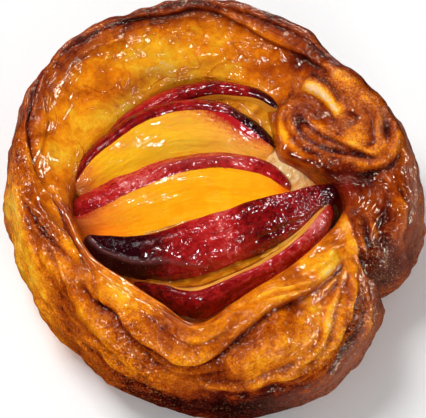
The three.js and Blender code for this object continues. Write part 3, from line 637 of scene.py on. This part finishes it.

# Lighter (below 0) and darker places on plan
TONES = [
    (37.2, 13.2, 3, 2.2, -30, -0.12), (26.5, 19.5, 4.5, 2.2, -42, -0.06), (44.9, 14, 3.2, 1.5, 80, 0.1),
    (33, 11, 5, 1.2, -28, -0.08), (37, 2.4, 5.5, 2.6, 0, 0.22), (36.6, -3, 3, 2, 0, 0.06),
    (42, -12.2, 3.2, 1.1, -57, -0.36), (37.4, -12, 5.5, 1.5, -84, 0.2), (41.2, -19.2, 5, 1.8, 5, 0.22),
    (19, 16.5, 7, 2, 82, -0.2), (23, 9.6, 4, 1.4, -30, -0.14), (-27, 22, 12, 4, 50, -0.1),
    (6.3, 37, 8, 4, 0, -0.08), (-3, 39, 8, 4, 0, -0.06), (14.5, 35.5, 10, 6, -20, 0.2),
    (-52, -2, 9, 4, 95, -0.18), (-30, 30, 8, 4, 45, 0.1), (-39.5, 10.4, 5, 3, 80, -0.1),
    (-49.6, 6, 10, 3, 97, 0.2), (-45, -9, 9, 3, 115, 0.2), (-41, -16.5, 6, 2.4, 130, 0.12),
    (-45.5, -18.4, 8, 3, 120, -0.1), (-37.6, -29.3, 8, 4, 130, -0.1), (38.7, 32.3, 7, 3, -50, 0.26),
    (23, 20.7, 5, 3, -40, 0.1), (20.3, 40.5, 6, 3, -25, -0.06), (28, -34, 7, 4, 40, -0.27),
    (35.5, -37.5, 13, 3, 51, 0.16), (42, -28, 7, 2, 60, -0.14), (45.3, -18.2, 5, 4, 0, -0.1),
    (45.2, -11.5, 2.6, 1.6, 80, -0.12), (45.4, -15.4, 2.8, 1.8, 0, 0.18), (34, -10, 7, 2.4, -76, -0.24),
    (20, -45, 11, 4.5, 22, -0.08), (28, 34, 4, 2.5, -45, -0.12), (-22.7, -32.2, 7.5, 4.2, -40, -0.2),
    (-10, -44, 9, 4, -20, 0.1), (-27.5, -35.5, 3, 1.2, -10, 0.06), (-20.5, -41.5, 4.5, 1.8, -50, 0.14),
    (31, -24, 9, 4.5, 45, -0.1),
]

# Sugar grain on plan
GRAIN = [
    (38.3, -12.5, 6, 2, -82, 0.7), (42.5, -19.5, 6, 2.2, 5, 0.9), (30, 30, 8, 3, -45, 0.5),
    (42, 8.5, 3, 2, 0, 0.5), (-20, -40.4, 4.5, 1.8, -50, 1), (-20.5, -46.5, 10, 2.4, -37, 1),
    (-41, -16, 7, 2.4, -49, 0.9), (-49, 4, 9, 3, 97, 0.8), (35, -36, 12, 3.4, 51, 1),
    (43, -22, 5, 3, 70, 0.8),
]

# Red stains that have run from the slices, on plan; the one at x 34 is painted shade in the gap by the
# slices' right ends
JUICE = [
    (-22.6, 31, 9, 2.6, 42, 0.85), (-10.4, 36.6, 8, 2, 16, 0.6), (4, 38.5, 9, 2, -5, 0.4),
    (-36, 6, 8, 2.2, 80, 0.5), (-37, -6, 5, 2.2, 100, 0.5), (34, -1, 6, 2.4, 80, 1),
]

# Lighter and darker places on the outer side: angle, mm outside the crest, reach round, reach along, amount
SIDE_TONES = [
    (222, 10, 5, 5, 0.12), (238, 12, 4, 2, 0.12), (246, 14.5, 5, 2.2, 0.16), (255, 17.5, 6, 2.4, 0.12),
    (337, 16, 9, 6, 0.42), (186, 10, 10, 5, -0.12), (270, 26, 20, 6, 0.12),
]
SIDE_RADIUS = 50  # mm from the middle at which the reach round is measured

# Dusty pinkish brown on the outer side: angle, level, and where it starts in mm outside the crest
DUST = [
    (0, 0.9, 2), (25, 0.8, 2), (50, 0.5, 0), (90, 0.5, -1), (130, 0.5, 0), (165, 0.4, 1), (200, 0, 4),
    (240, 0, 10), (280, 0.05, 20), (305, 0.7, 20), (340, 0.35, 5),
]


def crust_material():
    """Baked dough. The colour follows the browning value, painted paler on raised parts and darker in hollows
    as light and shade, with mottling, streaks along the layers and painted shade in the creases. Then come
    dusty places, red stains from the slices (painted shade in one gap) and sugar crystals. The bumps are
    streaks, crinkles and sugar grain. Syrup makes the inner side glossy."""
    shade = Shade("crust_look", {
        "Subsurface Weight": 0.08, "Subsurface Radius": (1, 0.35, 0.1), "Subsurface Scale": 0.002,
        "Specular IOR Level": 0.5, "Specular Tint": (1, 0.88, 0.66, 1)})
    lines = shade.value("lines")
    grain = shade.value("grain")
    streak = shade.drawn("way", (0.9, 6, 6), 4) - 0.5
    hair = shade.drawn("way", (0.3, 3, 3), 3) - 0.5
    blotch = shade.noise(9, 4, 0.5) - 0.5
    mottle = shade.noise(2.2, 5, 0.8) - 0.5
    speck = shade.noise(0.55) - 0.5
    crinkle = (shade.noise(3.2, 2, 1.2) - 0.5).absolute() * 2
    slick = lines.step(0.5, 0)
    wrinkle = (shade.noise(10, 1, 0.7) - 0.5).absolute().step(0.035, 0) * slick \
        * shade.noise(6, 1).step(0.42, 0.56)
    # Painted shade: the crease value darkens the colour in the folds' grooves and furrows.
    level = shade.value("bake") + blotch * 0.56 + mottle * (lines * 0.1 + 0.32) - streak * lines * 0.42 \
        - hair * lines * 0.12 + speck * (grain * 0.4 + 0.15) + shade.value("crease") * 0.13 \
        - crinkle * 0.1 + wrinkle * 0.08 + 0.05
    colour = shade.ramp(level, [
        (0, "F2C08C"), (0.1, "FFC630"), (0.19, "FFB01E"), (0.33, "EE840E"), (0.48, "BC560A"),
        (0.64, "8E3206"), (0.8, "561006"), (1, "280404")])
    dusty = shade.value("dust") * (mottle * 1.4 + 0.72).step(0.2, 0.9)
    colour = shade.mix(dusty, colour, "A46A58")
    # Red stains from the slices, and painted shade in the gap by the near slices' right ends
    colour = shade.mix(shade.value("juice_and_shade") * (mottle + 0.8), colour, "8C2012")
    crystals = shade.cells(0.75).step(0.42, 0.12) * (shade.noise(2, 2) + grain * 0.2).step(0.5, 0.7) * grain
    colour = shade.mix(crystals * 0.3, colour, "E8A868")
    roughness = 0.29 - shade.value("gloss") * 0.19 - grain * 0.06 + speck * 0.08 + blotch * 0.06 + dusty * 0.2
    groove = shade.drawn("way", (0.9, 6, 6))
    roll = shade.noise(2.4, 1, 0.8)
    pore = shade.noise(1, 1)
    sweep = shade.drawn("way", (1.4, 8, 8), 1, 0.4)
    fold_height = groove * lines * 0.22 + roll * (lines * 0.2 + 0.04) + sweep * (0.2 + lines * 0.02) \
        + crinkle * (lines * 0.1 + slick * 0.13) + wrinkle * 0.12
    grain_height = pore * (0.3 * grain + 0.02) + crystals * 0.06
    return shade.finish(colour, roughness, fold_height, grain_height)


def pastry_piece():
    """The pastry: the profile swept round by angle, with folds, the rolled corner, swells and lumps along its
    normals."""
    around = 720
    rows = np.concatenate([np.arange(n) / n + k for k, n in enumerate(ROW_STEPS)] + [[len(ROW_STEPS)]])
    degrees = np.arange(around) * 360 / around
    radius, height = stations(degrees)
    r = catmull(radius, rows).T
    z = np.maximum(catmull(height, rows).T, 0)
    turn = np.radians(degrees)[:, None]
    base = np.stack([r * np.cos(turn), r * np.sin(turn), z], -1)
    length = np.concatenate([0 * turn, np.cumsum(np.hypot(np.diff(r), np.diff(z)), 1)], 1)
    crest_row = int(np.argmin(np.abs(rows - CREST)))
    outside = length[:, crest_row:crest_row + 1] - length
    grid = np.broadcast_to(degrees[:, None], outside.shape)
    x, y = base[..., 0], base[..., 1]
    crust = rise(z, *FOOT_FADE) * fall(rows, *WALL_FADE)
    topside = rise(rows, TOP_START, 1)

    folds, crease, layer = fold_relief(grid, outside)
    corner = (x > CORNER_FROM[0]) & (y > CORNER_FROM[1]) & (rows > TOP_START)
    parts = np.zeros((6,) + x.shape)
    parts[:, corner] = corner_relief(x[corner], y[corner])
    patch, lines, line_crease, line_layer, tone, near_lines = parts
    relief = folds * (1 - patch) + (lines + bumps(x, y, SWELLS)) * topside
    relief += sum(waves(base, *lump) for lump in CRUST_LUMPS)
    # Painted shade in the creases, from the rim's folds and the corner's lines
    crease = crease * (1 - patch) + line_crease * topside
    layer = layer * (1 - near_lines) + line_layer * near_lines
    # The wet slope towards the slices on the far and left sides, and the far side's flaky crest and flank
    inner_slope = fall(outside, -3, 4) * rise(grid, 52, 10) * fall(grid, 200, 15)
    flaky = rise(outside, -6, 3) * rise(grid, 35, 15) * fall(grid, 175, 20)
    layer = layer * (1 - inner_slope) + outside * inner_slope
    relief += waves(np.stack([layer * LAYER_SQUEEZE, x, y], -1), *LAYER_LUMPS) * (1 - inner_slope)
    relief += waves(base, *CRUMPLES) * bumps(x, y, CRUMPLED) * topside
    points = base + outward_normals(base) * (crust * relief)[..., None]

    inner, start, width, outer = round_curves(grid, BROWNING)
    bake = inner + (outer - inner) * rise(outside, start, width)
    # Painted light and shade: paler where the crust is raised, darker in its hollows
    bake = bake * (1 - patch) + CORNER_BROWNING * patch + tone * topside - RELIEF_LIGHT_AND_SHADE * relief * crust
    bake += bumps(x, y, TONES) * topside
    for angle, place, reach_round, reach_along, amount in SIDE_TONES:
        away = np.radians((grid - angle + 180) % 360 - 180) * SIDE_RADIUS
        bake += amount * np.exp(-(away / reach_round) ** 2 - ((outside - place) / reach_along) ** 2)
    dusty, dust_start = round_curves(grid, DUST)
    sugar = bumps(x, y, GRAIN)
    lined = 0.4 + 0.4 * patch + 0.4 * rise(outside, 2, 6)
    grainy = 0.6 * rise(outside, -2, 5) + 0.6 * patch + 0.5 * rise(relief, 0.32, 1.6) + sugar
    values = {
        "bake": bake,
        "crease": crease,
        "way": np.stack([layer, x, y], -1),
        "lines": lined * (1 - inner_slope) + 0.7 * flaky,
        "grain": np.clip(grainy * (1 - inner_slope), 0, 1.4),
        "dust": dusty * rise(outside, dust_start, 5),
        "juice_and_shade": bumps(x, y, JUICE) * topside,
        "gloss": 0.95 - 0.55 * rise(outside, 6, 10) - 0.2 * patch - 0.7 * flaky + 0.4 * sugar,
    }
    piece = mesh_object("pastry_crust", points, False, crust_material(), values)
    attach(piece, "root")
    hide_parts("pastry")


def wedge_section(skin_points=40, face_points=26, core_points=8):
    """Unit section of a slice as bulge, depth (below 0), side and skin share: the round skin from back to
    front, the front face down to the core, and the back face up, with corners softened by averaging."""
    skin = np.radians(np.linspace(-SKIN_ARC, SKIN_ARC, skin_points))
    rows = [(np.cos(a) - SKIN_BACK, 0, 0.5 * np.sin(a), 1) for a in skin]
    core = CORE_SHARE / 2
    down = np.linspace(FACE_START, 1, face_points)
    rows += [(0, -q, 0.5 * (1 - q) + core * q, 0) for q in down]
    round_core = np.radians(np.linspace(SKIN_ARC, -SKIN_ARC, core_points))
    rows += [(0, -1 - CORE_BULGE * np.cos(a), core * np.sin(a), 0) for a in round_core]
    rows += [(0, -q, -0.5 * (1 - q) - core * q, 0) for q in down[::-1]]
    section = np.array(rows)
    for _ in range(2):
        section = (np.roll(section, 1, 0) + 2 * section + np.roll(section, -1, 0)) / 4
    return section


# Along each slice, as (place along, reach, amount): dark skin, which at the slices' shaded ends is partly
# painted shade, rosy skin, which on peach_5 is partly painted light, red flesh, and crinkled skin
SLICE_TONES = {
    "peach_1": ([(0.05, 0.2, 0.2), (0.55, 0.12, 0.2), (0.95, 0.12, 0.7)], [(0.3, 0.2, 0.3)], [(0, 0.2, 0.6)],
        [(0.4, 0.2, 0.5)]),
    "peach_2": ([(0.3, 0.3, 0.15), (0.85, 0.12, 0.6), (1, 0.12, 0.8), (0, 0.1, 0.2)], [],
        [(0.8, 0.18, 1.3), (0.5, 0.2, 0.2), (0, 0.1, 0.5)], [(0.9, 0.15, 0.8)]),
    "peach_3": ([(0, 0.08, 0.3)], [(0.25, 0.15, 0.6), (0.65, 0.25, 0.3)], [(0, 0.1, 1), (0.15, 0.1, 0.3)],
        [(0.2, 0.12, 0.7), (0.55, 0.1, 0.3)]),
    "peach_4": ([(0.06, 0.2, 0.95), (0.2, 0.12, 0.4), (0.66, 0.1, 0.2), (1, 0.08, 0.9)],
        [(0.47, 0.08, 0.3), (0.56, 0.05, 0.5)], [],
        [(0.14, 0.06, 0.6), (0.45, 0.07, 0.3), (0.57, 0.05, 0.5), (0.86, 0.12, 2.2)]),
    "peach_5": ([(0.12, 0.2, 0.3), (1, 0.05, 0.3)], [(0.6, 0.25, 0.45), (0.9, 0.12, 0.8)], [],
        [(0.9, 0.1, 2), (0.55, 0.1, 0.5)]),
}

# Flesh that is more orange towards both ends of every slice, and flesh that is tan all over on two slices
ORANGE_ENDS = [(0, 0.14, 0.6), (1, 0.1, 0.3)]
TAN_FLESH = {"peach_1": 0.5, "peach_5": 0.75}
BLUSH_DEEP = 0.25  # how far the flesh's red reaches from the skin, as a share of the depth
FLUSH = (0.8, 0.7, 0.8)  # the same for the flush round it, then its strength and its most

# Folds of the skins: height, reach, how pale as a painted highlight along the fold, and the line as
# (place along, place across from -0.5 to 0.5)
SLICE_FOLDS = {
    "peach_4": [
        (0.8, 0.7, 0.32, [(0.02, -0.4), (0.05, -0.3), (0.115, -0.05), (0.175, 0.03), (0.255, 0.06),
            (0.335, 0.05), (0.41, 0.2), (0.47, 0.38)]),
        (-0.6, 0.8, 0, [(0.42, -0.1), (0.5, -0.16), (0.6, -0.1)]),
        (-0.6, 0.7, 0, [(0.62, 0.2), (0.75, 0.16), (0.9, 0.2)]),
    ],
    "peach_3": [
        (-0.5, 0.7, 0, [(0.12, 0.1), (0.24, 0), (0.36, 0.12)]),
        (0.5, 0.9, 0.3, [(0.3, 0.3), (0.5, 0.36), (0.75, 0.3)]),
    ],
    "peach_5": [(-0.5, 0.7, 0, [(0.3, 0.1), (0.5, -0.1), (0.7, 0.05), (0.9, 0)])],
}


def peach_material():
    """Peach: crimson skin with dark and rosy stretches, lengthwise wrinkles and tiny dots, and golden flesh
    with faint threads from skin to core and a red blush by the skin, both wet. The dark stretches are partly
    painted shade, peach_5's rosy ones partly painted light, and pale lines along the folds a painted
    highlight.
    The flesh has a faint painted glow of its own, which brightens it where it lies in shade."""
    shade = Shade("peach_look", {
        "Subsurface Weight": 0.2, "Subsurface Radius": (1, 0.3, 0.1), "Subsurface Scale": 0.002,
        "Specular IOR Level": 0.6, "Emission Strength": 0.1})
    skin = shade.value("skin")
    thread = shade.drawn("fibre", (1.6, 9, 1), 3, 0.3) - 0.5
    streak = shade.drawn("fibre", (14, 1.2, 1), 3, 0.5) - 0.5
    wrinkle = (shade.drawn("fibre", (7, 1.6, 1), 4, 0.9) - 0.5).absolute() * 2
    cloud = shade.noise(4.5, 4) - 0.5
    fine = shade.noise(0.6) - 0.5
    mottle = shade.noise(1.6, 4, 0.8) - 0.5
    # Dark skin is partly painted shade at the slices' shaded ends; rosy skin partly painted light on peach_5
    redness = cloud * 0.5 + mottle * 0.7 + fine * 0.25 + shade.value("rosy") * 0.45 \
        - shade.value("dark") * 0.62 - wrinkle.step(0.16, 0) * 0.06 + 0.52
    red = shade.ramp(redness, [
        (0, "28030A"), (0.25, "4E0608"), (0.5, "941012"), (0.72, "C02424"), (1, "E0746C")])
    # Painted highlight: paler pinkish grey skin along the folds
    red = shade.mix(shade.value("pale") * (mottle + 0.8), red, "9A5C58")
    dots = shade.cells(0.8).step(0.3, 0.12) * fine.step(-0.08, 0.1)
    red = shade.mix(dots * 0.25, red, "CC5A58")
    gold = thread * 0.12 + streak * 0.22 + cloud * 0.5 \
        - shade.value("deep") * 0.36 + shade.value("end_orange") + 0.48
    flesh = shade.ramp(gold, [
        (0.05, "FFDC44"), (0.3, "FFC81A"), (0.58, "FFAC1A"), (0.8, "E07C14"), (1, "AC4C10")])
    tan = shade.ramp(streak + 0.5, [(0.3, "B4602C"), (0.55, "DC9044"), (0.75, "F4BE7C")])
    flesh = shade.mix(shade.value("tan"), flesh, tan)
    flesh = shade.mix(shade.value("flush") * (mottle * 0.8 + 1), flesh, "FC9C58")
    flesh = shade.mix((shade.value("blush") + fine * 0.5 + mottle * 0.3).step(0.2, 0.8), flesh, "B8181E")
    outer = (skin + mottle * 0.35).step(0.4, 0.6)
    colour = shade.mix(outer, flesh, red)
    # Painted light: the flesh glows faintly in its own colour, brightening it where it lies in shade
    shade.put(shade.surface.inputs["Emission Color"], shade.mix(outer, flesh, "000000"))
    roll = shade.noise(3.4, 1, 0.6)
    dimple = shade.noise(1.1, 1)
    ripple = shade.drawn("fibre", (5, 1.3, 1), 1, 0.3)
    skin_height = dimple * (shade.value("sparkle") * 0.4 + 0.05) + roll * 0.18
    height = roll * 0.22 + dimple * 0.02 + skin_height * skin + ripple * (1 - skin) * 0.26
    return shade.finish(colour, 0.12 + fine * 0.15 + cloud * 0.1, height)


def slice_values(name, u, q):
    """A slice's colour values: sums of bells along it, by the place u, some of which fade exponentially with
    the depth q below its skin."""
    dark, rosy, red, crinkled, end_orange = (
        sum(amount * np.exp(-((u - place) / spread) ** 2) for place, spread, amount in rows) + 0 * q
        for rows in SLICE_TONES[name] + (ORANGE_ENDS,))
    return {
        "deep": q,
        "dark": dark,
        "rosy": rosy,
        "sparkle": crinkled,
        "blush": red * np.exp(-q / BLUSH_DEEP),
        "flush": np.clip(red * np.exp(-q / FLUSH[0]) * FLUSH[1], 0, FLUSH[2]),
        "end_orange": end_orange,
        "tan": TAN_FLESH.get(name, 0) + 0 * q,
    }


def slice_piece(name, material):
    """A peach slice: the section swept along the middle of its skin. The thickness follows the table, the
    depth a power of a parabola, and both round off at the ends. Lumps and folds lie along the normals."""
    lean, deep, bulge, line = SLICES[name]
    u = 0.5 - 0.5 * np.cos(np.linspace(0, np.pi, SLICE_STEPS))
    table = np.array(line, float)
    swept = catmull(table, u * (len(table) - 1))
    middle = swept[:, :3]
    thickness = swept[:, 3]
    tangent = unit(np.gradient(middle, u, axis=0))
    chord = unit(table[-1, :3] - table[0, :3])
    along = unit(tangent * (1 - CHORD_SHARE) + chord * CHORD_SHARE)
    turn = math.radians(lean)
    out = unit(np.cross([0, -math.cos(turn), math.sin(turn)], along))
    side = np.cross(along, out)
    near = np.minimum(1, np.minimum(u, 1 - u) / END_ROUND)
    round_off = END_LEAST + (1 - END_LEAST) * np.sqrt(1 - (1 - near) ** 2)
    width = thickness * round_off
    depth = deep * (DEPTH_LEAST + (1 - DEPTH_LEAST) * (4 * u * (1 - u)) ** DEPTH_ROUND) * round_off
    section = wedge_section()
    reach = bulge * section[:, 0] * width[:, None] + section[:, 1] * depth[:, None]
    points = middle[:, None] + out[:, None] * reach[..., None] \
        + side[:, None] * (section[:, 2] * width[:, None])[..., None]
    outward = unit(section[:, 0:1] * bulge * out[:, None] + section[:, 2:3] * side[:, None])
    points = points + outward * (waves(points, *SLICE_LUMPS) * round_off[:, None])[..., None]
    skin = np.broadcast_to(section[None, :, 3], points.shape[:2])
    pale = np.zeros(points.shape[:2])
    for lift, spread, highlight_paleness, path in SLICE_FOLDS.get(name, []):
        place_along, place_across = np.array(path, float).T
        aside = (section[:, 2] - np.interp(u, place_along, place_across)[:, None]) * width[:, None]
        inside = np.minimum(u - place_along[0], place_along[-1] - u)[:, None]
        bell = np.exp(-(aside / spread) ** 2) * rise(inside, 0, FOLD_END) * skin
        points = points + outward * (lift * bell)[..., None]
        # The pale mark along the fold is a painted highlight
        pale += highlight_paleness * bell
    length = np.sum(np.hypot(*np.diff(middle[:, :2], axis=0).T))
    girth = np.linalg.norm(np.diff(points[len(u) // 2], axis=0), axis=1)
    across = np.concatenate([[0], np.cumsum(girth)])
    q = 0 * skin - section[:, 1]
    fibre = np.stack([part + 0 * q for part in (u[:, None] * length, across, FIBRE_OFFSET * deep)], -1)
    values = {**slice_values(name, u[:, None], q), "skin": skin, "pale": pale, "fibre": fibre}
    piece = mesh_object(name + "_slice", points, True, material, values)
    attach(piece, "root")
    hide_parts(name)


def cream_material():
    """Pastry cream: pale yellow with brown translucent streaks, wet gloss and light that passes in."""
    shade = Shade("cream_look", {
        "Subsurface Weight": 0.4, "Subsurface Radius": (1, 0.6, 0.3), "Subsurface Scale": 0.004,
        "Specular IOR Level": 0.6})
    cloud = shade.noise(5, 4, 0.8) - 0.5
    fine = shade.noise(0.8) - 0.5
    wave = shade.noise(2.2, 3, 0.6) - 0.5
    colour = shade.ramp(cloud * 0.9 + fine * 0.2 + wave * 0.4 + shade.value("rise") * 0.3 + 0.24, [
        (0.05, "B4662C"), (0.25, "D2984E"), (0.42, "F0C486"), (0.58, "FAE0B4"), (0.85, "FFF2DA")])
    # A dark red patch by the slices' right ends: partly a red stain, partly painted shade in that gap
    colour = shade.mix(shade.value("juice_and_shade"), colour, "5C0E10")
    height = shade.noise(3, 1, 0.8) * 0.9 + shade.noise(1.2, 1) * 0.1
    return shade.finish(colour, 0.12 + fine * 0.16, height)


def cream_piece():
    """The cream: a closed disc under a softly mounded top, out to the well's wall."""
    around, rings, wide, under_z = 160, 70, 35.5, FLOOR_Z + 0.5
    turn = np.linspace(0, 2 * np.pi, around, endpoint=False)[:, None]
    reach = wide * np.concatenate([[0, 1], np.linspace(1, 0, rings)])
    x, y = reach * np.cos(turn), reach * np.sin(turn)
    under = np.arange(rings + 2) < 2
    points = np.stack([x, y, np.where(under, under_z, CREAM_LEVEL + bumps(x, y, CREAM_MOUNDS))], -1)
    points[..., 2] += np.where(under, 0, sum(waves(points, *lump) for lump in CREAM_LUMPS))
    values = {"rise": (points[..., 2] - CREAM_LEVEL) / CREAM_MOUNDS[0][-1], "juice_and_shade": bumps(x, y, CREAM_JUICE_AND_SHADE)}
    piece = mesh_object("cream_filling", points, False, cream_material(), values)
    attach(piece, "root")
    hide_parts("cream")


# Syrup lying between the two far slices, and between the two near ones: its far and near edges
SYRUPS = {
    "far_syrup": (
        [(-9, 31.5, 26.2), (0, 32.2, 26.6), (7, 31.6, 27), (13, 29.2, 28), (17.5, 25.6, 29.8)],
        [(-9, 28.5, 26), (0, 28.2, 26.2), (5.8, 26.4, 26.2), (11.5, 22.6, 26), (16.5, 17.5, 25.4)],
    ),
    "near_syrup": (
        [(-17, -23.2, 25), (-10, -23.2, 25.2), (-3.4, -21.7, 25.4), (3.2, -19.4, 25.8), (9.7, -16.5, 26),
            (16.3, -13, 26.2), (22.9, -8.7, 26.6)],
        [(-16, -24.2, 25.4), (-10, -25.3, 26.4), (-3.4, -25.3, 27.2), (3.2, -22.8, 27.2), (9.7, -19.6, 27.2),
            (16.3, -15.9, 27.4), (23.5, -10.2, 28.2)],
    ),
}
SYRUP_THICK = 1.5
SYRUP_SAG = 0.8
SYRUP_STEPS = (60, 20)  # points along and across


def syrup_material():
    """Amber syrup with darker clouds, very glossy over soft ripples."""
    shade = Shade("syrup_look", {
        "Subsurface Weight": 0.3, "Subsurface Radius": (1, 0.4, 0.1), "Subsurface Scale": 0.003,
        "Specular IOR Level": 0.6})
    cloud = shade.noise(5, 3, 0.8)
    colour = shade.ramp(cloud, [(0.3, "9C4408"), (0.5, "CC7810"), (0.7, "E8A028")])
    ripple = shade.noise(2.6, 1, 0.5, shade.place((2, 1, 1)))
    return shade.finish(colour, cloud * 0.06 + 0.02, ripple * 0.6)


def syrup_piece(name, far_edge, near_edge, material):
    """The syrup: a thin closed sheet from its far edge to its near one, sagging as a parabola between."""
    along = np.linspace(0, len(far_edge) - 1, SYRUP_STEPS[0])
    far, near = catmull(far_edge, along)[:, None], catmull(near_edge, along)[:, None]
    across = np.linspace(0, 1, SYRUP_STEPS[1])[None, :, None]
    top = far * (1 - across) + near * across
    top[..., 2:] -= SYRUP_SAG * 4 * across * (1 - across)
    top[..., 2] += waves(top, *SYRUP_LUMPS)
    low = top[:, ::-1] - np.array([0, 0, SYRUP_THICK])
    points = np.concatenate([top, low], 1)
    piece = mesh_object(name, points, True, material, {})
    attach(piece, "root")
    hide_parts("cream")


AIM_Z = 0.02  # the height at which the camera and the lights are aimed


def camera():
    """The photograph's view: from the near side, 62 degrees up, 426 pixels wide at 3.8 to the millimetre."""
    turn = math.radians(62)
    away, sensor, width = 0.52, 36, 426 / 3.8 * MM
    lens = bpy.data.cameras.new("camera")
    lens.sensor_width = sensor
    lens.lens = sensor * away / width
    made = linked("camera", lens)
    made.location = (0, -away * math.cos(turn), AIM_Z + away * math.sin(turn))
    made.rotation_euler = (math.pi / 2 - turn, 0, 0)
    bpy.context.scene.camera = made


def area_light(name, x, y, z, size, power):
    """A square soft light at a place in metres that faces the pastry's middle."""
    lamp = bpy.data.lights.new(name, "AREA")
    lamp.size = size
    lamp.energy = power
    made = linked(name, lamp)
    made.location = (x, y, z)
    made.rotation_euler = (math.atan2(math.hypot(x, y), z - AIM_Z), 0, math.atan2(-y, -x) - math.pi / 2)
    return made


# Soft lights, and small ones that only shine back from wet and glazed places: where, size and power
SOFT_LIGHTS = {"key": (-0.35, 0.3, 0.75, 0.4, 6), "front": (0.25, -0.75, 0.45, 0.3, 2.3)}
GLINTS = [
    (-0.35, 0.3, 0.75, 0.14, 3), (-0.52, -0.55, 0.55, 0.1, 1.6), (0.8, -0.25, 0.42, 0.12, 2.8),
    (0.35, -0.65, 0.45, 0.09, 1.2), (-0.8, 0.1, 0.35, 0.14, 2.4), (0.8, 0.05, 0.35, 0.14, 2.4),
    (0.2, 0.8, 0.3, 0.12, 2), (-0.08, -0.25, 0.85, 0.07, 0.8), (0.1, 0.46, 0.75, 0.09, 1.2),
]


def studio():
    """A pale floor, a soft white surround, and the lights. Only the small lights show in the gloss."""
    world = bpy.data.worlds.new("surround")
    world.use_nodes = True
    background = world.node_tree.nodes["Background"].inputs
    background["Color"].default_value = (1, 1, 1, 1)
    background["Strength"].default_value = 0.34
    world.cycles_visibility.glossy = False
    bpy.context.scene.world = world
    for name, light in SOFT_LIGHTS.items():
        area_light(name, *light).visible_glossy = False
    for number, light in enumerate(GLINTS):
        area_light("glint_%d" % number, *light).visible_diffuse = False
    mesh = bpy.data.meshes.new("floor")
    reach = 3.0
    corners = [(-reach, -reach, 0), (reach, -reach, 0), (reach, reach, 0), (-reach, reach, 0)]
    mesh.from_pydata(corners, [], [(0, 1, 2, 3)])
    shade = Shade("floor_look", {"Roughness": 0.9, "Base Color": (0.96, 0.96, 0.96, 1)})
    mesh.materials.append(shade.material)
    floor = linked("floor", mesh)
    floor.visible_glossy = False


bpy.context.scene.view_settings.view_transform = "Standard"
camera()
studio()
pastry_piece()
peach = peach_material()
for slice_name in SLICES:
    slice_piece(slice_name, peach)
cream_piece()
syrup = syrup_material()
for syrup_name, (far_edge, near_edge) in SYRUPS.items():
    syrup_piece(syrup_name, far_edge, near_edge, syrup)
